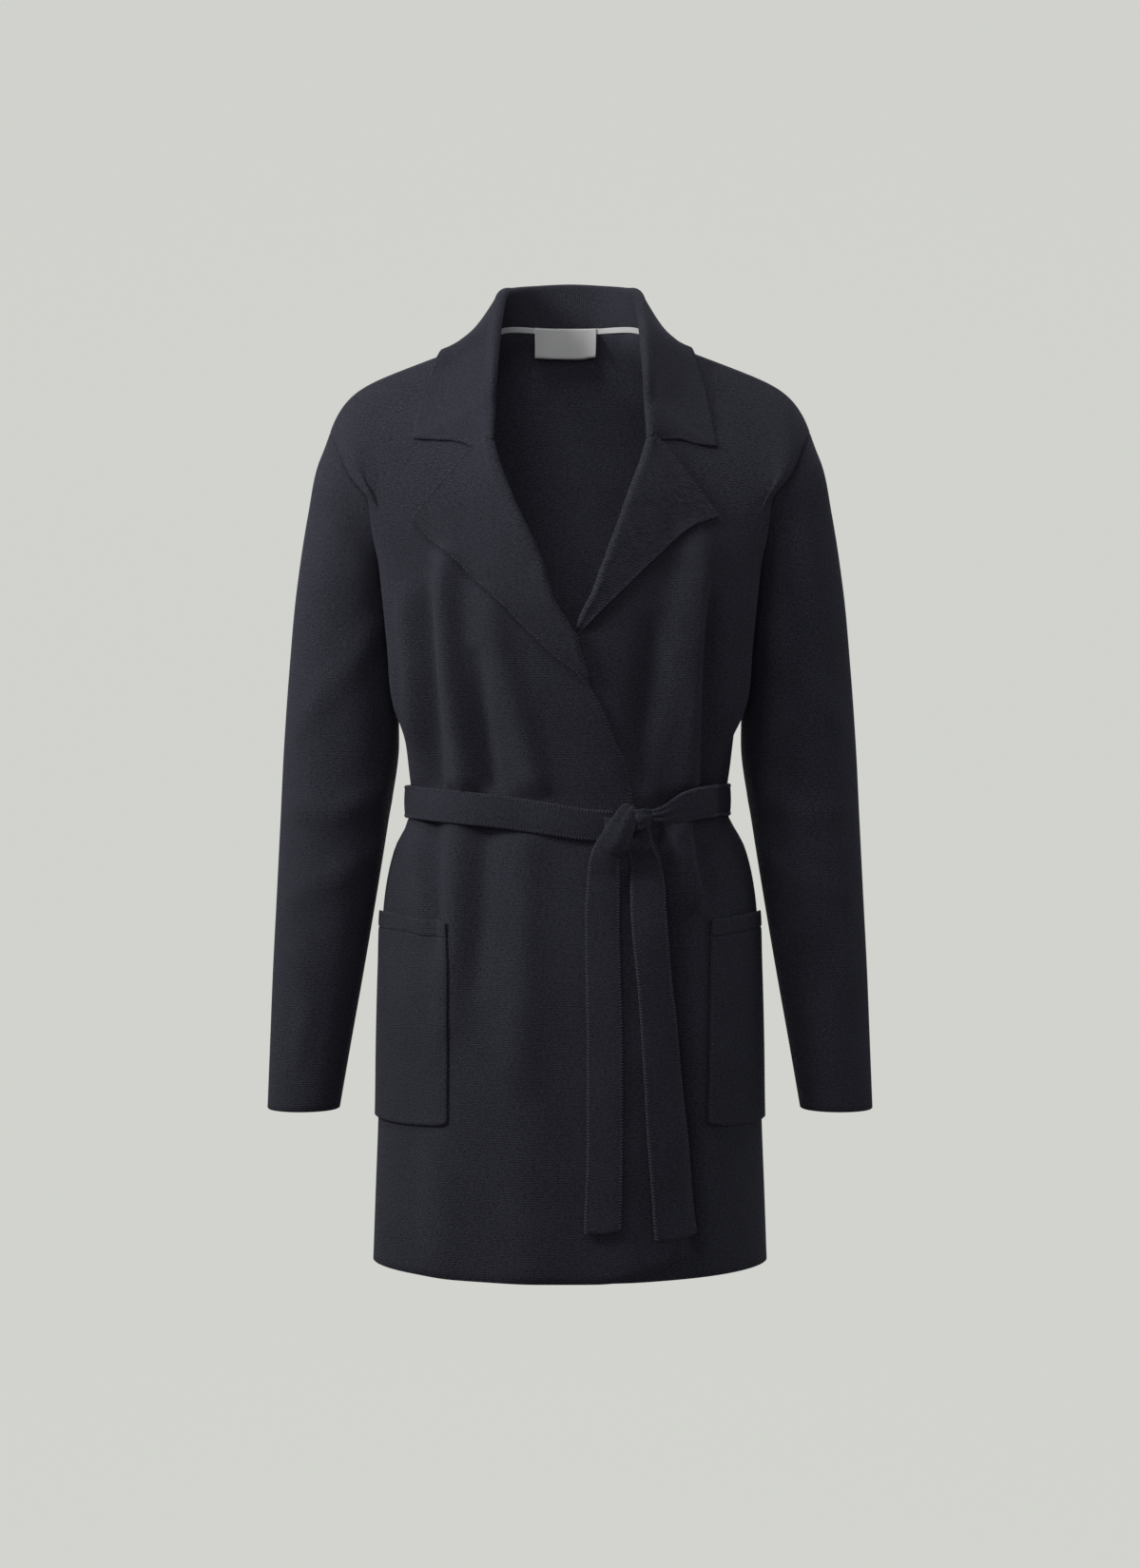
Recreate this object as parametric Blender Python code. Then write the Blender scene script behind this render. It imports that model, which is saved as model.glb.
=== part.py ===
"""Longline wrap cardigan with a tie belt, filled out as worn, with nobody in it.

Sizes in the tables are millimetres. X runs to the wearer's left, Y to the wearer's back and Z up.
The origin is in the middle of the shoulders. Each cloth piece is a wall of even thickness built
on its own middle surface.
"""

import math

import bpy
import numpy as np

MM = 0.001
WALL = 2.0
SEAM_GAP = 0.3
SLEEVE_GAP = 0.6
UNDERARM_GAP = 0.9
LAP_LIFT = 3.2
FLAP_CLEARANCE = 2.9
LEAF_CLEARANCE = 3.7
NECK_HALF_WIDTH = 78.0
QUARTER_TURN = math.pi / 2


def table(columns, *rows):
    """Rows of numbers as one array under each column's name."""
    values = np.array(rows, float)
    return {name: values[:, index] for index, name in enumerate(columns.split())}


# Body front, a level to each row from the hem to the shoulder seam
FRONT_LEVELS = table(
    "z_centre z_side x_side y_side y_centre square ridge straight reach",
    (-817, -817, 173.5, 12, -104, 1.00, 0, 1.0, 30),
    (-760, -760, 171.5, 12, -106, 0.98, 0, 1.0, 30),
    (-690, -690, 169.0, 13, -107, 0.96, 0, 1.0, 30),
    (-620, -620, 168.0, 14, -107, 0.94, 0, 1.0, 30),
    (-560, -560, 166.5, 15, -105, 0.93, 0, 1.0, 30),
    (-500, -500, 164.0, 16, -102, 0.93, 0, 1.0, 30),
    (-455, -455, 155.0, 17, -98, 0.94, 0, 1.0, 30),
    (-415, -415, 137.5, 18, -93, 0.95, 0, 1.0, 30),
    (-375, -375, 142.0, 18, -96, 0.93, 5, 1.0, 30),
    (-330, -330, 146.0, 18, -102, 0.91, 26, 1.0, 30),
    (-275, -275, 146.0, 18, -108, 0.90, 38, 1.0, 30),
    (-235, -218, 146.0, 18, -109, 0.90, 45, 1.0, 30),
    (-205, -207, 150.0, -14, -107, 0.90, 41, 1.0, 26),
    (-168, -180, 160.0, -40, -101, 0.92, 27, 1.0, 14),
    (-122, -150, 174.0, -46, -88, 0.96, 4, 1.0, 9),
    (-78, -130, 190.0, -39, -68, 1.00, 0, 0.9, 7),
    (-28, -103, 203.0, -19, -36, 1.00, 0, 0.8, 6),
    (10, -91, 209.0, -2, -12, 1.00, 0, 0.74, 6),
    (23.4, -85, 212.0, 12, 0, 1.00, 0, 0.724, 6),
)

# Body back, the same levels seen from behind
BACK_LEVELS = table(
    "z_centre z_side x_side y_side y_centre square ridge straight reach",
    (-817, -817, 173.5, 12, 104, 1.00, 0, 1.0, 30),
    (-760, -760, 171.5, 12, 106, 0.98, 0, 1.0, 30),
    (-690, -690, 169.0, 13, 107, 0.95, 0, 1.0, 30),
    (-620, -620, 168.0, 14, 108, 0.92, 0, 1.0, 30),
    (-560, -560, 166.5, 15, 105, 0.92, 0, 1.0, 30),
    (-500, -500, 164.0, 16, 96, 0.93, 0, 1.0, 30),
    (-455, -455, 155.0, 17, 86, 0.94, 0, 1.0, 30),
    (-415, -415, 137.5, 18, 80, 0.95, 0, 1.0, 30),
    (-375, -375, 142.0, 18, 84, 0.93, 2, 1.0, 30),
    (-330, -330, 146.0, 18, 90, 0.91, 6, 1.0, 30),
    (-275, -275, 146.0, 18, 96, 0.88, 10, 1.0, 30),
    (-232, -218, 146.0, 18, 99, 0.86, 12, 1.0, 30),
    (-200, -210, 149.0, 40, 101, 0.86, 10, 1.0, 20),
    (-160, -185, 157.0, 58, 101, 0.88, 8, 1.0, 12),
    (-112, -155, 170.0, 68, 98, 0.92, 3, 1.0, 7),
    (-68, -130, 186.0, 62, 93, 0.96, 0, 0.95, 6),
    (-26, -100, 200.0, 40, 84, 1.00, 0, 0.85, 6),
    (2, -91, 208.0, 25, 77, 1.00, 0, 0.78, 6),
)

# Back neck seam and shoulder seam, from the centre back to the shoulder tip
BACK_TOP = table(
    "x y z",
    (0, 70, 14.0),
    (26, 66, 13.5),
    (48, 50, 12.0),
    (64, 27, 6.5),
    (74, 9, -1.5),
    (78, 1.3, -5.5),
)

# Neck seam of a front and the turned roll line, as one line up the panel's inner edge
NECK_SEAM = table(
    "x z",
    (70.5, -107),
    (73.5, -92),
    (76.0, -66),
    (78.0, -36),
    (78.2, -18),
    (78.0, -5.5),
)

# Front edge below the break of the lapel, from the hem up
RIGHT_EDGE = table(
    "x z",
    (94.0, -817),
    (93.6, -780),
    (90.0, -700),
    (84.0, -600),
    (79.0, -510),
    (74.0, -458),
    (62.0, -434),
    (53.0, -415),
    (49.3, -392),
    (44.5, -377),
    (37.2, -362),
    (29.2, -340),
    (16.4, -315),
)
LEFT_EDGE = table(
    "x z",
    (94.0, -817),
    (93.6, -780),
    (90.0, -700),
    (84.0, -600),
    (79.0, -510),
    (74.0, -458),
    (62.0, -434),
    (53.0, -415),
    (44.5, -377),
    (29.2, -340),
    (16.0, -312),
    (4.5, -290),
    (-5.5, -271),
)

# Lapels: the roll line and the free edge at the same steps, how far the flap has turned, and the
# clearance at the free edge. The last rows are the top edge from the point to the gorge.
RIGHT_LAPEL = table(
    "roll_x roll_z edge_x edge_z turn radius",
    (14.8, -309, 10.0, -307, 95, 1.6),
    (10.5, -298, 0.5, -298.5, 165, 2.4),
    (5.0, -285, -13.0, -288, 180, 3.0),
    (-1.2, -270, -32.0, -270, 180, 3.2),
    (-28.5, -208, -92.0, -213.0, 180, 3.6),
    (-41.0, -179.5, -118.0, -188.8, 180, 4.0),
    (-53.0, -152, -133.8, -171.6, 180, 4.0),
    (-57.5, -141, -117.0, -150.0, 180, 4.0),
    (-61.6, -131, -101.0, -131.5, 180, 4.0),
    (-65.2, -118.5, -89.5, -118.5, 180, 4.0),
    (-68.0, -107.5, -81.9, -110.4, 180, 4.0),
)
LEFT_LAPEL = table(
    "roll_x roll_z edge_x edge_z turn radius",
    (-6.6, -268, -11.0, -267, 95, 1.6),
    (-9.5, -262, -16.0, -261.5, 165, 2.4),
    (-14.5, -251, -27.0, -250, 180, 3.0),
    (-32.5, -209, -66.0, -211, 180, 3.4),
    (-41.0, -185, -88.0, -190.5, 180, 3.6),
    (-48.0, -165, -108.0, -176.8, 180, 3.8),
    (-53.5, -150, -125.3, -169.0, 180, 4.0),
    (-58.0, -138, -110.0, -148.6, 180, 4.0),
    (-62.5, -126, -96.0, -130.5, 180, 4.0),
    (-65.8, -115, -84.5, -115.0, 180, 4.0),
    (-68.8, -105, -75.4, -104.2, 180, 4.0),
)

# Sleeve rings below the cap, given by their outer and inner points seen from the front
SLEEVE_RINGS = table(
    "x_out z_out x_in z_in y_centre half_depth square",
    (222.0, -113, 153.5, -222, 15, 58, 0.92),
    (231.5, -158, 155.0, -235, 18, 60, 0.90),
    (242.0, -225, 155.5, -261, 22, 61, 0.88),
    (248.5, -292, 155.0, -306, 24, 60, 0.88),
    (253.5, -360, 153.8, -360, 24, 57, 0.90),
    (256.7, -427, 162.7, -427, 22, 52, 0.92),
    (259.7, -494, 173.0, -494, 18, 46, 0.94),
    (262.5, -561, 183.9, -561, 12, 41, 0.96),
    (264.4, -628, 195.3, -628, 5, 36, 0.98),
    (266.0, -682, 204.3, -682, 0, 32, 1.00),
)

# Collar sections from the gorge round to the centre back, in the half on that side. The roll is
# where the stand turns over, upright says how far the turn faces up, and -999 lies on the front.
RIGHT_COLLAR = table(
    "seam_x seam_y seam_z roll_x roll_y roll_z leaf_x leaf_y leaf_z edge_x edge_y edge_z"
    " upright radius rest",
    (72.0, -999, -105.2, 67.0, -999, -106.3, 0, -999, 0, 81.9, -999, -109.0, 0.0, 2.8, 2.6),
    (74.0, -999, -97, 67.0, -999, -97.5, 0, -999, 0, 98.5, -999, -102.6, 0.0, 2.9, 2.6),
    (76.0, -999, -84, 66.8, -999, -86.0, 0, -999, 0, 116.5, -999, -100.6, 0.05, 3.1, 2.3),
    (77.0, -999, -68, 66.2, -999, -72.0, 0, -999, 0, 135.2, -999, -97.0, 0.1, 3.2, 2.4),
    (77.8, -999, -48, 65.4, -45, -50.0, 0, -999, 0, 130.8, -999, -73.0, 0.2, 3.5, 1.8),
    (78.2, -999, -26, 63.5, -22, -18.0, 0, -999, 0, 124.0, -999, -47.0, 0.4, 4.1, 0.6),
    (78.0, 1, -5.0, 60.0, 4, 15.0, 86, 1, 1.0, 112.0, 2, -13.5, 0.8, 4.2, 0),
    (66.0, 23, 6.0, 56.5, 30, 40.0, 82, 38, 14.0, 104.0, 50, -15.0, 1.0, 4.4, 0),
    (50.0, 48.3, 12.1, 47.0, 50, 46.5, 66, 72, 20.0, 80.0, 90, -14.0, 1.0, 4.6, 0),
    (27.0, 65.8, 13.7, 29.0, 66, 51.5, 37, 88, 24.0, 44.0, 103, -14.0, 1.0, 4.6, 0),
    (0.0, 70, 14.2, 0.0, 71.5, 54.0, 0, 93, 24.0, 0.0, 107, -14.0, 1.0, 4.6, 0),
)
LEFT_COLLAR = table(
    "seam_x seam_y seam_z roll_x roll_y roll_z leaf_x leaf_y leaf_z edge_x edge_y edge_z"
    " upright radius rest",
    (72.0, -999, -102.6, 67.6, -999, -103.7, 0, -999, 0, 75.6, -999, -102.4, 0.0, 2.8, 2.6),
    (74.0, -999, -95, 67.4, -999, -96.0, 0, -999, 0, 92.0, -999, -101.3, 0.0, 2.9, 2.6),
    (76.0, -999, -83, 67.0, -999, -85.0, 0, -999, 0, 109.0, -999, -104.8, 0.05, 3.1, 2.3),
    (77.0, -999, -68, 66.2, -999, -72.0, 0, -999, 0, 125.9, -999, -106.6, 0.1, 3.2, 2.4),
    (77.8, -999, -48, 65.4, -45, -50.0, 0, -999, 0, 121.0, -999, -76.0, 0.2, 3.5, 1.8),
    (78.2, -999, -26, 63.5, -22, -18.0, 0, -999, 0, 115.5, -999, -46.0, 0.4, 4.1, 0.6),
    (78.0, 1, -5.0, 60.0, 4, 15.0, 84, 1, 1.0, 106.0, 2, -11.5, 0.8, 4.2, 0),
    (66.0, 23, 6.0, 56.5, 30, 40.0, 81, 38, 14.0, 101.0, 50, -14.0, 1.0, 4.4, 0),
    (50.0, 48.3, 12.1, 47.0, 50, 46.5, 66, 72, 20.0, 80.0, 90, -14.0, 1.0, 4.6, 0),
    (27.0, 65.8, 13.7, 29.0, 66, 51.5, 37, 88, 24.0, 44.0, 103, -14.0, 1.0, 4.6, 0),
    (0.0, 70, 14.2, 0.0, 71.5, 54.0, 0, 93, 24.0, 0.0, 107, -14.0, 1.0, 4.6, 0),
)

# Folds in the body cloth: height is how far the ridge stands out, and a valley is negative
FRONT_FOLDS = (
    ("armhole ridge right", ((-117, -225), (-106, -295), (-110, -360), (-113, -400)), 12, 12, 5.0, 40, 5),
    ("waist ridge right", ((-86, -330), (-88, -400)), 9, 8, 3.0, 40, 5),
    ("waist ridge left", ((101, -240), (92, -344), (81, -404)), 12, 12, 4.5, 60, 5),
    ("crease left", ((114, -216), (108, -295), (107, -404)), 16, 5, 5.5, 50, 5),
    ("skirt pleat left", ((92, -425), (99, -470), (108, -512)), 14, 5, 6.0, 5, 40),
    ("skirt pleat right", ((-134, -425), (-128, -470), (-120, -520)), 12, 12, 4.0, 5, 50),
    ("skirt ridge right", ((-88, -425), (-92, -500), (-96, -600)), 20, 16, 3.5, 5, 90),
    ("skirt valley right", ((-68, -425), (-74, -500), (-78, -560)), 12, 12, -2.5, 5, 70),
    ("skirt wave left", ((58, -500), (62, -640), (60, -817)), 30, 30, 2.5, 90, 5),
    ("skirt wave right", ((-40, -480), (-36, -640), (-30, -817)), 28, 28, 2.5, 90, 5),
)
BACK_FOLDS = (
    ("centre wave", ((6, -300), (4, -400)), 14, 14, 4.0, 70, 5),
    ("left ridge", ((78, -250), (70, -400)), 12, 12, 4.5, 80, 5),
    ("right ridge", ((-74, -240), (-66, -400)), 12, 12, 4.5, 80, 5),
    ("left side ridge", ((118, -280), (108, -400)), 12, 12, 4.0, 70, 5),
    ("right side ridge", ((-120, -290), (-110, -400)), 12, 12, 4.0, 70, 5),
    ("skirt left", ((58, -425), (70, -560), (78, -700)), 18, 18, 5.0, 5, 140),
    ("skirt right", ((-52, -425), (-64, -560), (-74, -700)), 18, 18, 5.0, 5, 140),
    ("skirt centre", ((4, -425), (2, -600), (0, -760)), 20, 20, 3.5, 5, 160),
)

# Folds in the sleeves: angle round the sleeve from the outer side towards the front, and height
SLEEVE_FOLDS = (
    ("drag from underarm", ((140, -250), (95, -300), (50, -350)), 14, 3.0, 40),
    ("elbow front", ((150, -400), (90, -425), (40, -415)), 13, 3.0, 40),
    ("elbow low", ((160, -450), (100, -480), (45, -500)), 13, 2.5, 40),
    ("forearm", ((60, -540), (85, -590), (80, -640)), 12, 2.0, 35),
    ("back drag", ((215, -260), (265, -320), (300, -370)), 14, 3.0, 40),
    ("back elbow", ((200, -410), (260, -430), (310, -420)), 13, 3.0, 40),
)

BELT_LINE = table(
    "x z half_height",
    (-142, -411.5, 13.3),
    (-105, -415.0, 13.3),
    (-60, -420.0, 13.2),
    (-20, -426.0, 13.0),
    (24, -432.0, 12.2),
    (40, -432.5, 11.5),
    (67, -421.5, 6.5),
    (84, -417.5, 11.8),
    (112, -411.5, 13.2),
    (142, -410.5, 13.3),
)
BELT_THICKNESS = 2.4
BODY_CLEARANCE = 5.0
SIDE_Y = 18.0
BODY_ROWS = (-817, -765, -700, -630, -570, -515, -478, -448, -427, -411, -396, -374, -345, -320, -292, -262)


def even_slopes(knots, values):
    """Slopes at the knots, along the first axis, held back so that the curve never overshoots."""
    steps = np.diff(knots).reshape((-1,) + (1,) * (values.ndim - 1))
    legs = np.diff(values, axis=0) / steps
    before = np.concatenate((legs[:1], legs))
    after = np.concatenate((legs, legs[-1:]))
    slopes = np.gradient(values, knots, axis=0)
    most = 2.6 * np.minimum(np.abs(before), np.abs(after))
    slopes = np.clip(slopes, -most, most)
    return np.where(before * after > 0, slopes, 0)


def smooth(knots, values, at):
    """A curve through the values at the knots, without a kink at any of them."""
    knots = np.asarray(knots, float)
    values = np.asarray(values, float)
    at = np.asarray(at, float)
    slopes = even_slopes(knots, values)
    index = np.clip(np.searchsorted(knots, at, side="right") - 1, 0, len(knots) - 2)
    span = knots[index + 1] - knots[index]
    part = np.clip((at - knots[index]) / span, 0, 1)
    if values.ndim > 1:
        span = span[..., None]
        part = part[..., None]
    return hermite(values[index], values[index + 1], slopes[index] * span, slopes[index + 1] * span, part)


def hermite(start, end, start_slope, end_slope, part):
    squared = part * part
    cubed = squared * part
    return (
        start * (2 * cubed - 3 * squared + 1)
        + start_slope * (cubed - 2 * squared + part)
        + end * (3 * squared - 2 * cubed)
        + end_slope * (cubed - squared)
    )


def ease(value, low, high):
    """0 below low, 1 above high, and a soft step between."""
    part = np.clip((value - low) / (high - low), 0, 1)
    return part * part * (3 - 2 * part)


def unit(vectors):
    length = np.linalg.norm(vectors, axis=-1, keepdims=True)
    return vectors / np.maximum(length, 1e-9)


def along_path(path, x, z):
    """How far each point lies across and along a path of straight legs, and the path's length."""
    best = np.full(np.shape(x), 1e9)
    across = np.zeros(np.shape(x))
    along = np.zeros(np.shape(x))
    run = 0.0
    for (x0, z0), (x1, z1) in zip(path[:-1], path[1:]):
        leg = math.hypot(x1 - x0, z1 - z0)
        ux = (x1 - x0) / leg
        uz = (z1 - z0) / leg
        reach = (x - x0) * ux + (z - z0) * uz
        inside = np.clip(reach, 0, leg)
        side = (x - x0) * uz - (z - z0) * ux
        distance = np.hypot(x - x0 - inside * ux, z - z0 - inside * uz)
        nearer = distance < best
        best = np.where(nearer, distance, best)
        across = np.where(nearer, np.where(side < 0, -distance, distance), across)
        along = np.where(nearer, run + reach, along)
        run += leg
    return across, along, run


def fold_height(folds, x, z):
    """The sum of the folds at each point of a body half."""
    total = np.zeros(np.shape(x))
    for _, path, width_left, width_right, height, fade_start, fade_end in folds:
        across, along, length = along_path(path, x, z)
        width = np.where(across < 0, width_right, width_left)
        rise = np.exp(-((across / width) ** 2))
        rise = rise * ease(along, -fade_start * 0.5, fade_start * 0.5)
        rise = rise * ease(length - along, -fade_end * 0.5, fade_end * 0.5)
        total += height * rise
    return total


class Half:
    """The front or the back of the body, lofted through its levels."""

    def __init__(self, levels, folds, outward, top=None):
        self.levels = levels
        self.folds = folds
        self.outward = outward
        self.top = top
        middle = self.level_points(np.array([0.9]))[0]
        side = self.level_points(np.array([QUARTER_TURN]))[0]
        steps = np.diff(middle, axis=0), np.diff(side, axis=0)
        lengths = np.linalg.norm(steps[0], axis=1) + np.linalg.norm(steps[1], axis=1)
        run = np.concatenate(([0], np.cumsum(lengths)))
        self.knots = run / run[-1]

    def level_points(self, angle):
        """Where each level stands at each angle, 0 at the centre and a quarter turn at the side."""
        one = self.levels
        sine = np.abs(np.sin(angle))[:, None] ** one["square"]
        cosine = np.abs(np.cos(angle))[:, None] ** one["square"]
        sharp = np.abs(np.sin(angle))[:, None] ** one["reach"]
        bulge = np.clip((np.degrees(np.abs(angle))[:, None] - 30) / 50, 0, 1)
        x = one["x_side"] * sine + one["ridge"] * np.sin(math.pi * bulge) ** 2
        y = SIDE_Y + (one["y_centre"] - SIDE_Y) * cosine + (one["y_side"] - SIDE_Y) * sharp
        share = one["straight"] * sine + (1 - one["straight"]) * sine**16
        z = one["z_centre"] + (one["z_side"] - one["z_centre"]) * share
        points = np.stack((x, y, z), axis=-1)
        if self.top is not None:
            points = np.concatenate((points, self.top(np.abs(angle))[:, None, :]), axis=1)
        points[..., 0] *= np.where(angle < 0, -1, 1)[:, None]
        return points

    def bare(self, angle, rise):
        """The body without folds at an angle and at a part of the way up."""
        points = self.level_points(angle)
        slopes = np.swapaxes(even_slopes(self.knots, np.swapaxes(points, 0, 1)), 0, 1)
        index = np.clip(np.searchsorted(self.knots, rise, side="right") - 1, 0, len(self.knots) - 2)
        row = np.arange(len(angle))
        span = (self.knots[index + 1] - self.knots[index])[:, None]
        part = ((rise - self.knots[index]) / span[:, 0])[:, None]
        return hermite(
            points[row, index],
            points[row, index + 1],
            slopes[row, index] * span,
            slopes[row, index + 1] * span,
            part,
        )

    def point(self, angle, rise, lift=0.0):
        """Points on the cloth, moved out by the folds and by the lift asked for."""
        shape = np.shape(angle)
        angle = np.ravel(np.asarray(angle, float))
        rise = np.ravel(np.broadcast_to(rise, shape)).astype(float)
        base = self.bare(angle, rise)
        height = fold_height(self.folds, base[:, 0], base[:, 2])
        height = height * ease(QUARTER_TURN - np.abs(angle), 0.02, 0.35)
        amount = height + np.ravel(np.broadcast_to(lift, shape))
        out = np.stack((np.sin(angle), np.cos(angle) * self.outward, np.zeros(len(angle))), axis=-1)
        return (base + out * amount[:, None]).reshape(shape + (3,))

    def normal(self, angle, rise):
        """The outward direction of the cloth."""
        step = 2e-3
        over = np.clip(np.asarray(rise, float) + step, 0, 1)
        under = np.clip(np.asarray(rise, float) - step, 0, 1)
        ahead = np.minimum(angle + step, QUARTER_TURN)
        behind = np.maximum(angle - step, -QUARTER_TURN)
        across = self.point(ahead, rise) - self.point(behind, rise)
        upward = self.point(angle, over) - self.point(angle, under)
        return unit(np.cross(across, upward)) * -self.outward

    def find(self, x, z, axis=0, side=1):
        """The angle and the rise of the cloth at a place seen from the front, or, with axis 1, the side."""
        x = np.asarray(x, float)
        z = np.asarray(z, float)
        count = len(self.levels["z_centre"])
        rise = np.interp(z, self.levels["z_centre"], self.knots[:count])
        side_y = np.interp(rise, self.knots[:count], self.levels["y_side"])
        centre = np.interp(rise, self.knots[:count], self.levels["y_centre"])
        if axis == 0:
            half = np.interp(rise, self.knots[:count], self.levels["x_side"])
            angle = np.arcsin(np.clip(x / half, -0.96, 0.96))
        else:
            angle = np.arccos(np.clip((x - side_y) / (centre - side_y), 0.02, 0.98)) * side
        step = 1e-4
        limit = 1.5 if axis == 0 else 1.57
        for _ in range(24):
            here = self.point(angle, rise)
            turned = (self.point(angle + step, rise) - here) / step
            raised = (self.point(angle, rise + step) - here) / step
            miss_x = x - here[..., axis]
            miss_z = z - here[..., 2]
            area = turned[..., axis] * raised[..., 2] - turned[..., 2] * raised[..., axis]
            area = np.where(np.abs(area) < 1e-3, 1e-3, area)
            angle_step = (miss_x * raised[..., 2] - miss_z * raised[..., axis]) / area
            rise_step = (miss_z * turned[..., axis] - miss_x * turned[..., 2]) / area
            angle = np.clip(angle + np.clip(angle_step, -0.1, 0.1), -limit, limit)
            rise = np.clip(rise + np.clip(rise_step, -0.05, 0.05), 0, 1)
        return angle, rise

    def over(self, x, z, clearance):
        """Points that lie on the cloth at these places, moved out along its normal."""
        angle, rise = self.find(x, z)
        return self.point(angle, rise) + self.normal(angle, rise) * np.asarray(clearance)[..., None]


def back_top(angle):
    """The top edge of the back: the neck seam, then the shoulder seam to its tip."""
    sine = np.sin(angle)
    x = 212.0 * sine
    z = 23.4 - 78.5 * sine - 29.9 * sine**16
    y = SIDE_Y * (1 - np.cos(angle)) - 6.0 * sine**6
    neck_y = np.interp(x, BACK_TOP["x"], BACK_TOP["y"])
    neck_z = np.interp(x, BACK_TOP["x"], BACK_TOP["z"])
    inside = x < NECK_HALF_WIDTH
    return np.stack((x, np.where(inside, neck_y, y), np.where(inside, neck_z, z)), axis=-1)


FRONT = Half(FRONT_LEVELS, FRONT_FOLDS, -1)
BACK = Half(BACK_LEVELS, BACK_FOLDS, 1, back_top)
NECK_ANGLE = math.asin(NECK_HALF_WIDTH / 212.0)


def lap_lift(x, z):
    """How far the right front stands off the left front under it."""
    return LAP_LIFT * ease(x, -135, -98) * ease(-z, 200, 262)


class Cloth:
    """A middle surface of points and faces that becomes one closed wall."""

    def __init__(self, name, thickness=WALL):
        self.name = name
        self.thickness = thickness
        self.points = []
        self.faces = []
        self.normals = {}

    def add(self, points):
        """Adds an array of points and gives back their numbers in the same shape."""
        flat = np.reshape(points, (-1, 3))
        start = sum(len(block) for block in self.points)
        self.points.append(flat)
        return np.arange(start, start + len(flat)).reshape(np.shape(points)[:-1])

    def join(self, numbers, wrap=False):
        """Adds the faces of a grid of point numbers."""
        rows, columns = numbers.shape
        for row in range(rows - 1):
            for column in range(columns - (0 if wrap else 1)):
                following = (column + 1) % columns
                corners = [
                    numbers[row, column],
                    numbers[row, following],
                    numbers[row + 1, following],
                    numbers[row + 1, column],
                ]
                face = [corner for index, corner in enumerate(corners) if corner != corners[index - 1]]
                if len(face) > 2:
                    self.faces.append(face)

    def fix(self, numbers, normals, shares=1.0):
        """Sets the direction of the wall at these points, as at a seam that two pieces share."""
        normals = np.reshape(normals, (-1, 3))
        shares = np.broadcast_to(shares, len(normals))
        for number, normal, share in zip(np.ravel(numbers), normals, shares):
            self.normals[int(number)] = (normal, share)

    def build(self):
        points = np.concatenate(self.points)
        normals = np.zeros_like(points)
        for face in self.faces:
            corners = points[face]
            count = len(face)
            for index in range(count):
                ahead = corners[(index + 1) % count] - corners[index]
                behind = corners[index - 1] - corners[index]
                normal = np.cross(ahead, behind)
                size = np.linalg.norm(normal)
                if size > 1e-9:
                    lengths = np.linalg.norm(ahead) * np.linalg.norm(behind)
                    normals[face[index]] += normal / size * math.asin(min(1.0, size / lengths))
        normals = unit(normals)
        for number, (normal, share) in self.normals.items():
            normal = normal if np.dot(normal, normals[number]) >= 0 else -normal
            normals[number] = unit(normal * share + normals[number] * (1 - share))
        outer = points + normals * self.thickness / 2
        inner = points - normals * self.thickness / 2
        count = len(points)
        faces = [list(face) for face in self.faces]
        faces += [[count + corner for corner in reversed(face)] for face in self.faces]
        edges = {}
        for face in self.faces:
            for index, corner in enumerate(face):
                following = face[(index + 1) % len(face)]
                edges[(corner, following)] = edges.get((corner, following), 0) + 1
        for start, end in edges:
            if (end, start) not in edges:
                faces.append([end, start, count + start, count + end])
        return solid(self.name, np.concatenate((outer, inner)), faces)


def solid(name, points, faces):
    """An object of its own with a material of its own."""
    mesh = bpy.data.meshes.new(name)
    mesh.from_pydata([tuple(float(value) * MM for value in point) for point in points], [], faces)
    mesh.validate()
    obj = bpy.data.objects.new(name, mesh)
    bpy.context.scene.collection.objects.link(obj)
    for polygon in mesh.polygons:
        polygon.use_smooth = True
    colour, roughness = COLOURS[name]
    material = bpy.data.materials.new(name)
    material.use_nodes = True
    shader = material.node_tree.nodes["Principled BSDF"]
    shader.inputs["Base Color"].default_value = (*colour, 1)
    shader.inputs["Roughness"].default_value = roughness
    mesh.materials.append(material)
    return obj


NAVY = ((0.012, 0.013, 0.022), 0.9)
WHITE = ((0.78, 0.78, 0.78), 0.7)
COLOURS = {
    name: NAVY
    for name in (
        "back",
        "front_right",
        "front_left",
        "collar",
        "sleeve_right",
        "sleeve_left",
        "pocket_right",
        "pocket_left",
        "belt_waist",
        "belt_knot",
        "belt_end_right",
        "belt_end_left",
    )
}
COLOURS["neck_tape"] = WHITE
COLOURS["label"] = WHITE


# Seams shared by two pieces


def armhole_point(part, side):
    """A point of the armhole: part 0 at the shoulder tip, then the front, 0.5 at the underarm, the back."""
    part = np.asarray(part, float) % 1
    front = part <= 0.5
    share = np.where(front, 1 - part * 2, (part - 0.5) * 2)
    angle = np.full(np.shape(part), QUARTER_TURN * side)
    front_low = FRONT.knots[11]
    back_low = BACK.knots[11]
    front_points = FRONT.bare(angle, front_low + (1 - front_low) * share)
    back_points = BACK.bare(angle, back_low + (1 - back_low) * share)
    return np.where(front[:, None], front_points, back_points)


def armhole_run():
    """The length along the armhole at each part of it."""
    fine = np.linspace(0, 1, 401)
    points = armhole_point(fine, 1)
    return fine, np.concatenate(([0], np.cumsum(np.linalg.norm(np.diff(points, axis=0), axis=1))))


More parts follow.
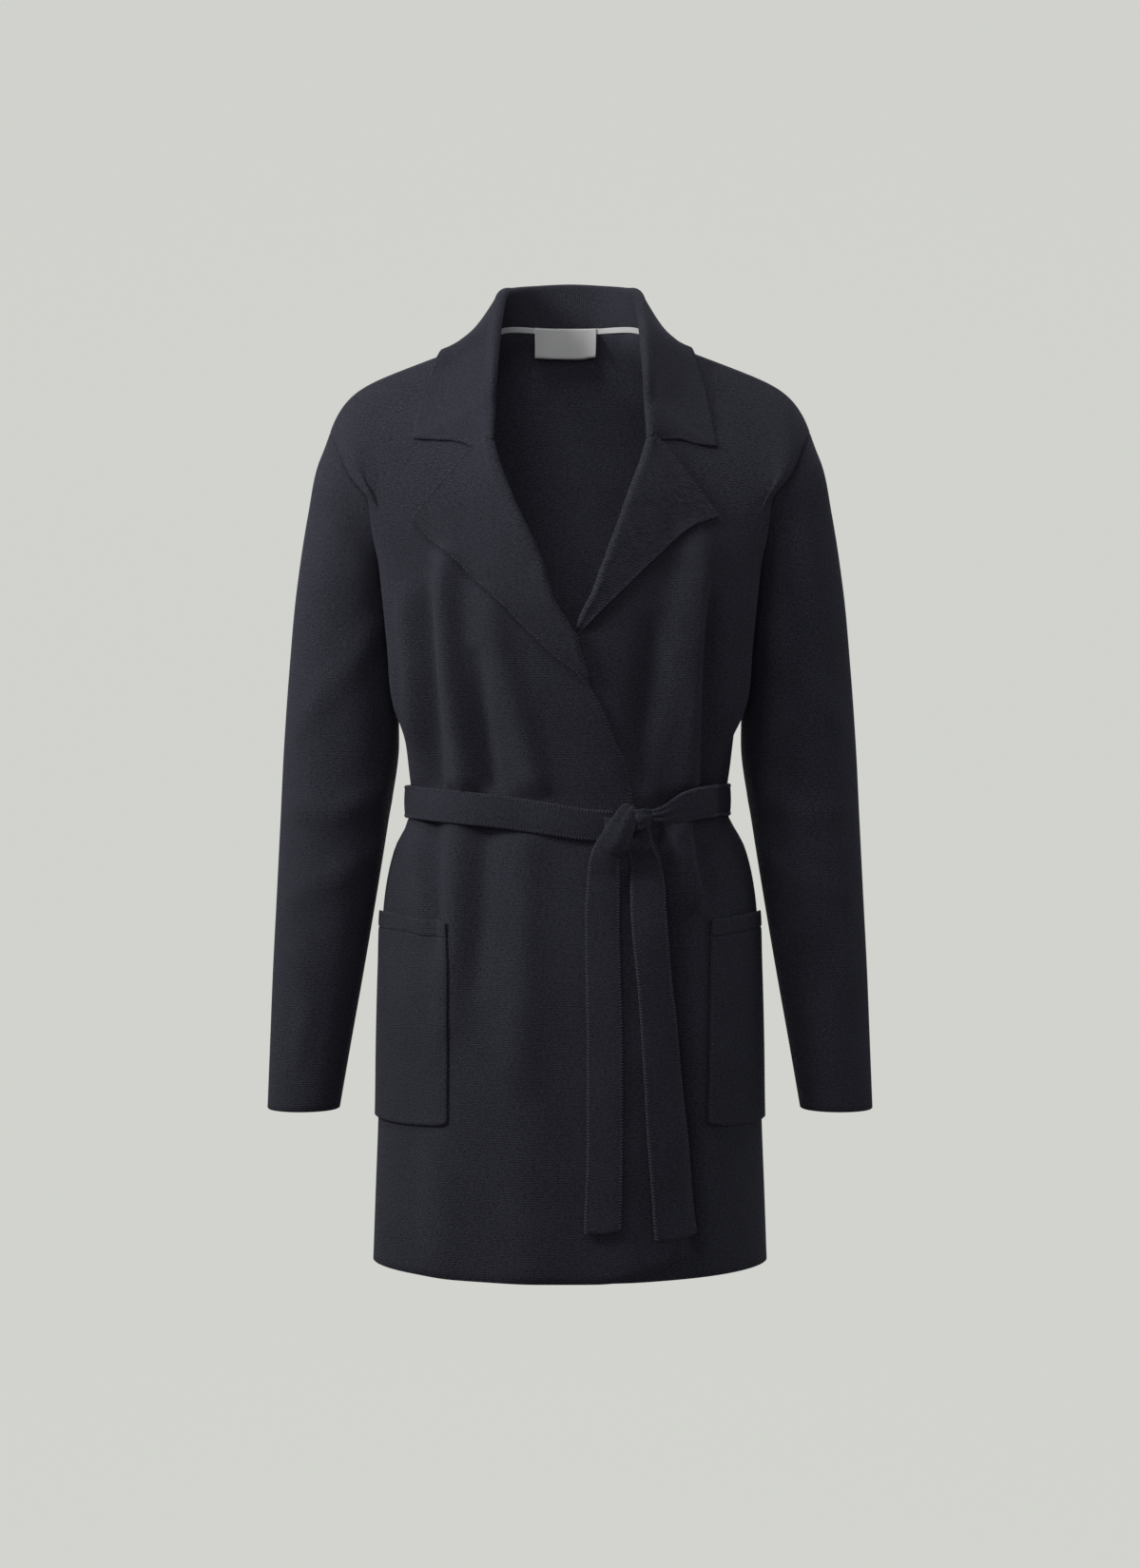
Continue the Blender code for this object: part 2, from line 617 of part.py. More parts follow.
def sleeve_levels(angles, parts, side):
    """Where the armhole and each ring of a sleeve stand, one column to an angle round it."""
    rings = [armhole_point(parts, side)]
    for index in range(len(SLEEVE_RINGS["x_out"])):
        row = {name: values[index] for name, values in SLEEVE_RINGS.items()}
        across = np.sign(np.cos(angles)) * np.abs(np.cos(angles)) ** row["square"]
        deep = np.sign(np.sin(angles)) * np.abs(np.sin(angles)) ** row["square"]
        x = (row["x_out"] + row["x_in"]) / 2 + (row["x_out"] - row["x_in"]) / 2 * across
        z = (row["z_out"] + row["z_in"]) / 2 + (row["z_out"] - row["z_in"]) / 2 * across
        y = row["y_centre"] - row["half_depth"] * deep
        rings.append(np.stack((x * side, y, z), axis=-1))
    return np.stack(rings)


def sleeve_grid(side, parts, along, start=0.0):
    """The middle surface of a sleeve, rows from the armhole to the cuff."""
    fine, run = armhole_run()
    reach = np.interp(parts, fine, run)
    half = run[len(run) // 2]
    front = math.pi * reach / half
    back = math.pi * (1 + (reach - half) / (run[-1] - half))
    angles = np.where(parts <= 0.5, front, back)
    rings = sleeve_levels(angles, parts, side)
    steps = np.linalg.norm(np.diff(rings, axis=0), axis=2).mean(axis=1)
    run = np.concatenate(([0], np.cumsum(steps)))
    at = start + (run[-1] - start) * np.linspace(0, 1, along + 1) ** 1.12
    at = np.sort(np.concatenate((at, (start + 2.5, start + 8))))
    points = loft(run, rings, at)
    degrees = np.degrees(angles)
    centre = points.mean(axis=1, keepdims=True)
    out = points - centre
    out[..., 2] = 0
    out = unit(out)
    total = np.zeros(points.shape[:2])
    for _, path, width, height, fade in SLEEVE_FOLDS:
        scaled = tuple((angle * 0.9, level) for angle, level in path)
        around = np.broadcast_to(degrees * 0.9, total.shape)
        across, reach, length = along_path(scaled, around, points[..., 2])
        rise = np.exp(-((across / width) ** 2)) * ease(reach, -fade / 2, fade / 2)
        total += height * rise * ease(length - reach, -fade / 2, fade / 2)
    total *= ease(at, 20, 80)[:, None]
    points = points + out * total[..., None]
    points = clear_of_body(points, side, at)
    begin = start + UNDERARM_GAP * (1 - shared_part(parts))
    points[0] = rings[0] + (points[1] - rings[0]) * (begin / at[1])[:, None]
    return points


def shared_part(parts):
    """How far the two walls share one direction along the armhole: not at the underarm, all of it above."""
    return ease(np.abs(parts - 0.5), 0.03, 0.10)


def clear_of_body(points, side, at):
    """Moves sleeve points out sideways where they would touch the body."""
    moved = points.copy()
    for half, ahead in ((FRONT, moved[..., 1] < 17), (BACK, moved[..., 1] >= 17)):
        near = ahead & (np.abs(moved[..., 0]) < 190) & (at[:, None] > 1.0)
        if not near.any():
            continue
        x, y, z = moved[near].T
        angle, rise = half.find(y, z, axis=1, side=side)
        here = half.point(angle, rise)
        fits = (np.abs(here[:, 1] - y) < 1.0) & (np.abs(here[:, 2] - z) < 1.0)
        run = np.broadcast_to(at[:, None], near.shape)[near]
        wanted = np.abs(here[:, 0]) + BODY_CLEARANCE * ease(run, 0, 3)
        bigger = fits & (wanted > np.abs(x))
        moved[near, 0] = np.where(bigger, wanted * side, x)
    return moved


def loft(knots, levels, at):
    """Rows of points between levels of points, smooth along the way."""
    slopes = even_slopes(knots, levels)
    index = np.clip(np.searchsorted(knots, at, side="right") - 1, 0, len(knots) - 2)
    span = (knots[index + 1] - knots[index])[:, None, None]
    part = (at - knots[index])[:, None, None] / span
    return hermite(levels[index], levels[index + 1], slopes[index] * span, slopes[index + 1] * span, part)


# Pieces


def seam_normals(angle, rise):
    """Directions shared by the front and the back where they meet at a side or on a shoulder."""
    return unit(FRONT.normal(angle, rise) + BACK.normal(angle, rise))


def make_back(columns=26):
    underarm = BACK.knots[11]
    rises = back_rises()
    edge = QUARTER_TURN - 0.0014
    neck = NECK_ANGLE
    side_part = np.linspace(edge, neck, columns // 2 - 5 + 1)
    neck_part = np.linspace(neck, -neck, 11)
    angles = np.concatenate((side_part, neck_part[1:-1], -side_part[::-1]))
    grid_angle, grid_rise = np.meshgrid(angles, rises)
    top = grid_rise[-1]
    grid_rise[-1] = np.where(top >= 1, 1 - 0.0004, top)
    cloth = Cloth("back")
    numbers = cloth.add(BACK.point(grid_angle, grid_rise))
    cloth.join(numbers)
    for column in (0, -1):
        sign = math.copysign(1, angles[column])
        low = rises <= underarm + 1e-6
        cloth.fix(numbers[low, column], np.tile((sign, 0, 0), (low.sum(), 1)))
    shoulder = np.abs(angles) > neck - 1e-6
    cloth.fix(numbers[-1, shoulder], seam_normals(angles[shoulder], np.full(shoulder.sum(), 0.999)))
    for column, side in ((0, 1), (-1, -1)):
        high = rises > underarm + 1e-6
        cloth.fix(numbers[high, column], *body_normals_at_armhole(side, rises[high], BACK))
    return cloth.build()


def edge_x(rows, z):
    order = np.argsort(rows["z"])
    return smooth(rows["z"][order], rows["x"][order], z)


def lapel_steps(lapel, own):
    """The lapel's table with each roll point found on the cloth and one more step at the underarm."""
    angle, rise = FRONT.find(lapel["roll_x"] * own, lapel["roll_z"])
    underarm = FRONT.knots[11]
    at = int(np.searchsorted(rise, underarm))
    wanted = np.array((underarm, (underarm + rise[at]) / 2))
    rows = {name: np.insert(values, at, np.interp(wanted, rise, values)) for name, values in lapel.items()}
    angle, rise = FRONT.find(rows["roll_x"] * own, rows["roll_z"])
    rise[at] = underarm
    return rows, angle, rise


def level_rise(z, which):
    """The rise of a level below the underarm, where the levels lie flat."""
    fine = np.linspace(0, which.knots[11], 600)
    heights = which.bare(np.full(600, 0.3), fine)[:, 2]
    return np.interp(z, heights, fine)


def front_rises(side, edge_rows, lapel, neck_rows=4):
    """The rises of a front's rows: below the lapel, along its roll and up the neck seam."""
    own = -side
    _, _, roll_rise = lapel_steps(lapel, own)
    _, break_rise = FRONT.find(np.array([edge_rows["x"][-1] * own]), np.array([edge_rows["z"][-1]]))
    low = level_rise(np.array([z for z in BODY_ROWS if z < edge_rows["z"][-1] - 12]), FRONT)
    low = np.append(low, break_rise[0])
    neck = np.linspace(roll_rise[-1], 1, neck_rows + 1)[1:]
    neck[-1] = 1 - 0.0004
    return low, roll_rise, neck


def back_rises(high_rows=8):
    underarm = BACK.knots[11]
    low = level_rise(np.array(BODY_ROWS), BACK)
    return np.concatenate((low, np.linspace(underarm, 1, high_rows + 1)))


def seam_parts(side):
    """The parts of an armhole where the rows of the front and of the back meet it, once round."""
    rows = (RIGHT_EDGE, RIGHT_LAPEL) if side < 0 else (LEFT_EDGE, LEFT_LAPEL)
    rises = np.concatenate(front_rises(side, *rows))
    low = FRONT.knots[11]
    front = (rises[rises >= low - 1e-9] - low) / (1 - low)
    back_low = BACK.knots[11]
    back = back_rises()
    back = (back[back > back_low + 1e-9] - back_low) / (1 - back_low)
    front[-1] = 1
    return np.concatenate((((1 - front) / 2)[::-1], (0.5 + back / 2)[:-1]))


def make_front(side, edge_rows, lapel, columns=18, flap_columns=5):
    """A front with its lapel: side is 1 for the wearer's left and -1 for the wearer's right."""
    own = -side
    name = "front_left" if side > 0 else "front_right"
    cloth = Cloth(name)

    low, roll_rise, neck = front_rises(side, edge_rows, lapel)
    lapel, roll_angle, _ = lapel_steps(lapel, own)

    edge_angles = low * 0
    for _ in range(60):
        here = FRONT.point(edge_angles, low)
        edge_angles = edge_angles + (edge_x(edge_rows, here[:, 2]) * own - here[:, 0]) * 0.005
    neck_angles = np.full(len(neck), NECK_ANGLE * side)
    for _ in range(60):
        here = FRONT.point(neck_angles, neck)
        wanted = np.interp(here[:, 2], NECK_SEAM["z"], NECK_SEAM["x"]) * side
        neck_angles = neck_angles + (wanted - here[:, 0]) * 0.004

    rises = np.concatenate((low, roll_rise, neck))
    inner = np.concatenate((edge_angles, roll_angle, neck_angles))
    outer = (QUARTER_TURN - 0.0014) * side
    part = np.linspace(0, 1, columns + 1)
    part = part * 0.75 + 0.25 * part**1.6
    angle_grid = outer + (inner[:, None] - outer) * part
    rise_grid = np.repeat(rises[:, None], columns + 1, axis=1)
    base = FRONT.point(angle_grid, rise_grid)
    lift = lap_lift(base[..., 0], base[..., 2]) if side < 0 else np.zeros(angle_grid.shape)
    panel = FRONT.point(angle_grid, rise_grid, lift)
    if side < 0:
        corner = ease(-panel[..., 2], 770, 817) * ease(panel[..., 0], 60, 94)
        panel[..., 2] += 10 * corner
    numbers = cloth.add(panel)
    cloth.join(numbers)

    first = len(low)
    count = len(roll_rise)
    roll = panel[first : first + count, -1]
    normal = FRONT.normal(roll_angle, roll_rise)
    travel = unit(np.gradient(np.concatenate((panel[first - 1 : first, -1], roll)), axis=0))[1:]
    inward = unit(np.cross(normal, travel)) * side
    inward = np.where((inward[:, :1] * side) < 0, -inward, inward)
    toward = -inward
    radius = lapel["radius"][:, None]
    flap = []
    for fraction in (1 / 3, 2 / 3, 1.0):
        bend = np.radians(lapel["turn"][:, None]) * fraction
        flap.append(roll + toward * radius * np.sin(bend) + normal * radius * (1 - np.cos(bend)))
    start = flap[-1]
    edge_surface_x = lapel["edge_x"] * own
    edge_lift = lap_lift(edge_surface_x, lapel["edge_z"]) if side < 0 else 0.0
    for fraction in np.linspace(0, 1, flap_columns + 1)[1:]:
        x = start[:, 0] + (edge_surface_x - start[:, 0]) * fraction
        z = start[:, 2] + (lapel["edge_z"] - start[:, 2]) * fraction
        near = (1 - fraction) ** 2
        clearance = FLAP_CLEARANCE + (2 * lapel["radius"] - FLAP_CLEARANCE) * near
        lift_here = lap_lift(x, z) if side < 0 else 0.0
        flap.append(FRONT.over(x, z, clearance + lift_here))
    flap = np.stack(flap, axis=1)
    flap_numbers = cloth.add(flap)
    attached = np.concatenate((numbers[first : first + count, -1:], flap_numbers), axis=1)
    apex = np.full((1, attached.shape[1]), numbers[first - 1, -1])
    attached = np.concatenate((apex, attached))
    cloth.join(attached)

    low_side = rises <= FRONT.knots[11] + 1e-6
    cloth.fix(numbers[low_side, 0], np.tile((side, 0, 0), (low_side.sum(), 1)))
    top_angles = angle_grid[-1]
    cloth.fix(numbers[-1], seam_normals(top_angles, np.full(len(top_angles), 0.999)))
    cloth.fix(numbers[~low_side, 0], *body_normals_at_armhole(side, rises[~low_side], FRONT))
    return cloth.build()


def make_sleeve(side, along=17):
    name = "sleeve_left" if side > 0 else "sleeve_right"
    cloth = Cloth(name)
    parts = seam_parts(side)
    numbers = cloth.add(sleeve_grid(side, parts, along, start=SLEEVE_GAP))
    cloth.join(numbers, wrap=True)
    cloth.fix(numbers[0], armhole_normals(parts, side), shared_part(parts))
    return cloth.build()


def armhole_normals(parts, side):
    """Directions shared by the body and a sleeve along the armhole."""
    front = parts <= 0.5
    low = FRONT.knots[11]
    share = np.where(front, 1 - parts * 2, (parts - 0.5) * 2)
    angle = np.full(len(parts), (QUARTER_TURN - 0.01) * side)
    body = np.where(
        front[:, None],
        FRONT.normal(angle, low + (1 - low) * share),
        BACK.normal(angle, BACK.knots[11] + (1 - BACK.knots[11]) * share),
    )
    rows = sleeve_grid(side, parts, 60, start=SLEEVE_GAP)[:2]
    along = rows[1] - rows[0]
    ring = np.roll(rows[0], -1, axis=0) - np.roll(rows[0], 1, axis=0)
    sleeve = unit(np.cross(ring, along))
    centre = rows[0].mean(axis=0)
    inward = ((sleeve * (rows[0] - centre)).sum(axis=1)).sum() < 0
    return unit(body + (-sleeve if inward else sleeve))


def body_normals_at_armhole(side, rises, half):
    """The same shared directions at the rises of a front's or a back's own rows."""
    low = half.knots[11]
    share = np.clip((rises - low) / (1 - low), 0, 1)
    parts = (1 - share) / 2 if half is FRONT else 0.5 + share / 2
    fine = seam_parts(side)
    normals = armhole_normals(fine, side)
    values = np.concatenate((normals, normals[:1]))
    ends = np.append(fine, 1.0)
    found = np.stack([np.interp(parts, ends, values[:, axis]) for axis in range(3)], axis=-1)
    return unit(found), shared_part(parts)


def collar_half(rows, side, leaf_columns):
    """The cross-sections of one half of the collar, from the gorge to the centre back."""
    names = ("seam", "roll", "edge", "leaf")
    point = {}
    for name in names:
        point[name] = np.stack([rows[name + "_x"] * side, rows[name + "_y"], rows[name + "_z"]], axis=-1)
    for name in ("seam", "roll", "edge"):
        lies = point[name][:, 1] < -900
        point[name][lies] = FRONT.over(point[name][lies, 0], point[name][lies, 2], np.zeros(lies.sum()))
    radius = rows["radius"][:, None]
    roll = point["roll"]
    travel = unit(np.gradient(roll, axis=0))
    travel[-1] = (-side, 0, 0)
    lies = point["leaf"][:, 1] < -900
    angle, rise = FRONT.find(roll[:, 0], np.minimum(roll[:, 2], -20))
    normal = FRONT.normal(angle, rise)
    flat = unit(np.cross(normal, travel))
    flat = np.where(flat[:, :1] * side > 0, -flat, flat)
    upright = rows["upright"][:, None]
    up = unit(flat * (1 - upright) + np.array((0, 0, 1.0)) * upright)
    out = unit(np.cross(travel, up))
    radial = np.stack((roll[:, 0], roll[:, 1] - 10, roll[:, 2] * 0), axis=-1)
    out = np.where((out * radial).sum(axis=1, keepdims=True) < 0, -out, out)
    seam = point["seam"]
    away = unit(roll - seam)
    length = np.linalg.norm(roll - seam, axis=1, keepdims=True)
    rest = out * rows["rest"][:, None]
    start = seam + away * np.minimum(1.5, length * 0.4) + rest
    roll = roll + rest
    sections = [start, start + (roll - start) * 0.5 - out * 0.6 * upright, roll]
    for turn in (60, 120, 180):
        bend = math.radians(turn)
        sections.append(roll + out * radius * (1 - math.cos(bend)) + up * radius * math.sin(bend))
    turned = sections[-1]
    for fraction in np.linspace(0, 1, leaf_columns + 1)[1:]:
        straight = turned + (point["edge"] - turned) * fraction
        curved = (
            turned * (1 - fraction) * (1 - 2 * fraction)
            + point["leaf"] * 4 * fraction * (1 - fraction)
            + point["edge"] * fraction * (2 * fraction - 1)
        )
        height = 2 * rows["radius"] + rows["rest"]
        clearance = LEAF_CLEARANCE + (height - LEAF_CLEARANCE) * (1 - fraction) ** 2
        draped = FRONT.over(straight[:, 0], np.minimum(straight[:, 2], -16), clearance)
        sections.append(np.where(lies[:, None], draped, curved))
    return np.stack(sections, axis=1)


def make_collar(steps=(2, 2, 2, 2, 2, 2, 2, 2, 2, 2), leaf_columns=4):
    cloth = Cloth("collar")
    right = collar_half(RIGHT_COLLAR, -1, leaf_columns)
    left = collar_half(LEFT_COLLAR, 1, leaf_columns)
    halves = [right, left[::-1][1:]]
    sections = np.concatenate(halves)
    knots = np.arange(len(sections), dtype=float)
    counts = list(steps) + list(steps[::-1])
    at = [0.0]
    for index, count in enumerate(counts):
        at += [index + part / count for part in range(1, count + 1)]
    numbers = cloth.add(loft(knots, sections, np.array(at)))
    cloth.join(numbers)
    return cloth.build()


def make_pocket(side, inner_top, inner_low, top_z, low_z, across=7, down=6):
    name = "pocket_left" if side > 0 else "pocket_right"
    cloth = Cloth(name)
    fraction = np.linspace(0, 1, down + 1)[:, None]
    part = np.linspace(0, 1, across + 1)[None, :]
    inner_x = inner_top + (inner_low - inner_top) * fraction
    top = top_z[0] + (top_z[1] - top_z[0]) * part
    low = low_z[0] + (low_z[1] - low_z[0]) * part
    round_off = 5 * np.maximum(0, 1 - part / 0.12) ** 2 * ease(fraction, 0.8, 1.0)
    z = top + (low - top) * fraction + round_off
    inner_angle, _ = FRONT.find(inner_x[:, 0] * side, z[:, 0])
    outer_angle = 1.5 * side
    angle = inner_angle[:, None] + (outer_angle - inner_angle[:, None]) * part
    rise = level_rise(z, FRONT)
    base = FRONT.point(angle, rise)
    lift = lap_lift(base[..., 0], base[..., 2]) if side < 0 else np.zeros(angle.shape)
    clearance = WALL + 1.3 + lift
    points = base + FRONT.normal(angle, rise) * clearance[..., None]
    cloth.join(cloth.add(points))
    return cloth.build()


def belt_columns(count):
    """Where the belt's middle line runs: angle, half of the body, height and half height."""
    start_x, end_x = 24.2, 67.6
    half = count // 2
    start, _ = FRONT.find(np.array([start_x, end_x]), np.array([-432.0, -421.5]))
    quarter = count // 4
    front_first = np.linspace(start[0], -QUARTER_TURN, quarter + 3)
    back = np.linspace(-QUARTER_TURN, QUARTER_TURN, half)[1:-1]
    front_last = np.linspace(QUARTER_TURN, start[1], quarter)
    return front_first, back, front_last


def belt_clearance(which, angles, rises):
    """How far the cloth under the belt reaches out beyond its middle line, near each angle."""
    middle_angle, middle_rise = angles, rises[len(rises) // 2]
    middle = which.point(middle_angle, middle_rise)
    normal = which.normal(middle_angle, middle_rise)
    normal[:, 2] = 0
    normal = unit(normal)
    most = np.zeros(len(angles))
    for turn in np.linspace(-0.09, 0.09, 7):
        near = np.clip(angles + turn, -QUARTER_TURN, QUARTER_TURN)
        level = which.bare(near, middle_rise) - which.bare(middle_angle, middle_rise)
        for rise in rises:
            point = which.point(near, rise)
            reach = ((point - middle - level) * normal)[:, :2].sum(axis=1)
            most = np.maximum(most, reach)
    return middle, normal, most


def make_belt_waist(count=48):
    cloth = Cloth("belt_waist", BELT_THICKNESS)
    columns = []
    for which, angles in zip((FRONT, BACK, FRONT), belt_columns(count)):
        base = which.point(angles, level_rise(np.full(len(angles), -412.0), which))
        z = np.full(len(angles), -411.0)
        half_height = np.full(len(angles), 13.3)
        lift = np.zeros(len(angles))
        if which is FRONT:
            z = smooth(BELT_LINE["x"], BELT_LINE["z"], base[:, 0])
            half_height = smooth(BELT_LINE["x"], BELT_LINE["half_height"], base[:, 0])
            lift = LAP_LIFT * ease(base[:, 0], -135, -98) * (1 - ease(base[:, 0], 62, 95))
        rises = [level_rise(z + half_height * part, which) for part in (-1, -0.5, 0, 0.5, 1)]
        middle, normal, most = belt_clearance(which, angles, rises)
        reach = (WALL / 2 + SEAM_GAP + BELT_THICKNESS / 2 + 0.5 + lift + most)[:, None]
        strip = []
        for part in (-1, 0, 1):
            point = middle + normal * reach
            point[:, 2] = z + half_height * part
            strip.append(point)
        columns.append(np.stack(strip, axis=1))
    cloth.join(cloth.add(np.concatenate(columns)))
    return cloth.build()


BELT_END_RIGHT = table(
    "z left right clearance",
    (-458.3, 18.0, 39.0, 8.5),
    (-475, 14.5, 39.5, 8.0),
    (-505, 13.1, 40.2, 6.4),
    (-616, 14.7, 43.4, 6.1),
    (-696, 14.7, 43.4, 6.1),
    (-772, 12.0, 42.0, 6.1),
)
BELT_END_LEFT = table(
    "z left right clearance",
    (-458.9, 48.0, 69.5, 8.5),
    (-475, 48.6, 73.0, 8.0),
    (-505, 49.8, 75.5, 6.4),
    (-592, 56.2, 82.0, 6.1),
    (-680, 60.9, 88.5, 6.1),
    (-779, 67.3, 96.0, 6.1),
)


def make_belt_end(name, rows, across=2, down=12):
    cloth = Cloth(name, BELT_THICKNESS)
    z = np.linspace(rows["z"][0], rows["z"][-1], down + 1)
    order = np.argsort(rows["z"])
    left = smooth(rows["z"][order], rows["left"][order], z)
    right = smooth(rows["z"][order], rows["right"][order], z)
    clearance = smooth(rows["z"][order], rows["clearance"][order], z)
    grid = []
    for part in np.linspace(0, 1, across + 1):
        x = left + (right - left) * part
        grid.append(FRONT.over(x, z, clearance))
    cloth.join(cloth.add(np.stack(grid, axis=1)))
    return cloth.build()


def make_belt_knot(around=20, rings=12):
    """The knot as one lump: a band wrapped over the crossing of the two ends."""
    centre = np.array((46.0, -109.5, -436.5))
    sizes = np.array((20.6, 12.5, 21.3))
    points = [centre + sizes * (0, 0, 1)]
    for ring in range(1, rings):
        polar = math.pi * ring / rings
        for step in range(around):
            turn = 2 * math.pi * step / around
            direction = np.array(
                (math.sin(polar) * math.cos(turn), math.sin(polar) * math.sin(turn), math.cos(polar))
            )
            shaped = np.sign(direction) * np.abs(direction) ** 0.78
            groove = math.exp(-(((direction[0] * 0.8 + direction[2] * 0.35 - 0.22) / 0.16) ** 2))
            front = max(0.0, -direction[1])
            points.append(centre + sizes * shaped * (1 - 0.16 * groove * front))
    points.append(centre - sizes * (0, 0, 1))
    faces = []
    for step in range(around):
        following = (step + 1) % around
        faces.append([0, 1 + step, 1 + following])
        last = 1 + (rings - 2) * around
        faces.append([len(points) - 1, last + following, last + step])
        for ring in range(rings - 2):
            low = 1 + ring * around
            faces.append([low + step, low + around + step, low + around + following, low + following])
    return solid("belt_knot", points, faces)


def make_neck_tape(count=16):
    cloth = Cloth("neck_tape", 0.8)
    x = np.linspace(-66, 66, count + 1)
    reach = np.abs(x)
    y = np.interp(reach, BACK_TOP["x"], BACK_TOP["y"])
    z = np.interp(reach, BACK_TOP["x"], BACK_TOP["z"])
    line = np.stack((x, y, z), axis=-1)
    travel = unit(np.gradient(line[:, :2], axis=0))
    inward = np.stack((travel[:, 1], -travel[:, 0], np.zeros(len(x))), axis=-1)
    base = line + inward * (WALL / 2 + 1.5 + 0.4)
    grid = np.stack((base + (0, 0, -1.6), base + (0, 0, 3.2)), axis=1)
    cloth.join(cloth.add(grid))
    return cloth.build()


def make_label(columns=8, rows=3):
    cloth = Cloth("label", 1.0)
    x = np.linspace(-31.6, 23.8, columns + 1)
    y = np.interp(np.abs(x), BACK_TOP["x"], BACK_TOP["y"])
    grid = []
    for part in np.linspace(0, 1, rows + 1):
        stands = y - WALL / 2 - 4.1 + 1.5 * part
        grid.append(np.stack((x, stands, np.full(len(x), 16.6 - 26.6 * part)), axis=-1))
    cloth.join(cloth.add(np.stack(grid)))
    return cloth.build()


def clear_scene():
    for obj in list(bpy.data.objects):
        bpy.data.objects.remove(obj, do_unlink=True)


def main():
    clear_scene()
    make_back()
    make_front(-1, RIGHT_EDGE, RIGHT_LAPEL)
    make_front(1, LEFT_EDGE, LEFT_LAPEL)
    make_sleeve(-1)
    make_sleeve(1)
    make_collar()
    make_pocket(-1, 101.0, 102.0, (-514.5, -509.5), (-685.5, -688.5))
    make_pocket(1, 119.6, 116.3, (-514.5, -509.5), (-686.5, -690.0))
    make_belt_waist()
    make_belt_knot()
    make_belt_end("belt_end_right", BELT_END_RIGHT)
    make_belt_end("belt_end_left", BELT_END_LEFT)
    make_neck_tape()
    make_label()


main()
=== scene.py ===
"""Longline wrap cardigan with a tie belt, filled out as worn.

Sizes in the tables are millimetres in the garment's own frame: X to the wearer's left, Y to the
wearer's back and Z up, with the origin in the middle of the shoulders. Each piece of cloth is a
thin closed wall with its own directions of knitting, so rows and ribs follow the cut.
"""

import math

import bpy
import numpy as np
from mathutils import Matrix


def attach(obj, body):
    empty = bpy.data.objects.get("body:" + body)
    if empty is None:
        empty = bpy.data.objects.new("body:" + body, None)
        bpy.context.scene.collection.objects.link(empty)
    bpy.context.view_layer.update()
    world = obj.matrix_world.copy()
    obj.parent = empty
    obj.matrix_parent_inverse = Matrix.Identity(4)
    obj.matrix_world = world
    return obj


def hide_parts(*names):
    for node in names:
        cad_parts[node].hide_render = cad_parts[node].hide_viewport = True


bl_info = {
    "name": "Longline wrap cardigan",
    "version": (1, 0, 0),
    "blender": (4, 5, 0),
    "location": "View3D > Sidebar > Cardigan",
    "description": "Makes a dark knitted wrap cardigan with lapels, patch pockets and a knotted belt",
    "category": "Object",
}

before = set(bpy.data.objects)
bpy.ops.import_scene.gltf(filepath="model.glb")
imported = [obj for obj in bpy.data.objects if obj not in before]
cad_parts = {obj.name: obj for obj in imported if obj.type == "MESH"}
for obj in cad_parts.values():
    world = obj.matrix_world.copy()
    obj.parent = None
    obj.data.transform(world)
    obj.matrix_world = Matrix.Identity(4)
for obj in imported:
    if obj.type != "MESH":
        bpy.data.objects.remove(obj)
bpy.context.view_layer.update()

MM = 0.001
WALL = 2.0
SEAM_GAP = 0.3
SLEEVE_GAP = 0.6
UNDERARM_GAP = 0.9
LAP_LIFT = 3.2
FLAP_CLEARANCE = 2.9
LEAF_CLEARANCE = 2.6
NECK_HALF_WIDTH = 78.0
SHOULDER_HALF_WIDTH = 212.0
QUARTER_TURN = math.pi / 2
SIDE_ANGLE = QUARTER_TURN - 0.0014
TOP_RISE = 1 - 0.0004
SHOULDER_RISE = 0.999
UNDERARM_LEVEL = 11
ON_FRONT = -999
LAPEL_UV = 3000.0
ROLL_LEAN = {-1: (0.5, -0.87), 1: (0.956, 0.294)}
POCKET_HEM = 13.0
EDGE_LIFT = 4.5
BELT_THICKNESS = 2.4
BODY_CLEARANCE = 5.0
SIDE_Y = 18.0
PLAIN_RIM = 0.05
SLEEVE_MIDDLE_Y = 17
NEAR_BODY_X = 190
MM_TO_A_DEGREE = 0.9


def table(columns, *rows):
    """Rows of numbers as one array under each column's name."""
    values = np.array(rows, float)
    return {name: values[:, index] for index, name in enumerate(columns.split())}


LEVEL_COLUMNS = "z_centre z_side x_side y_side y_centre square ridge straight reach"

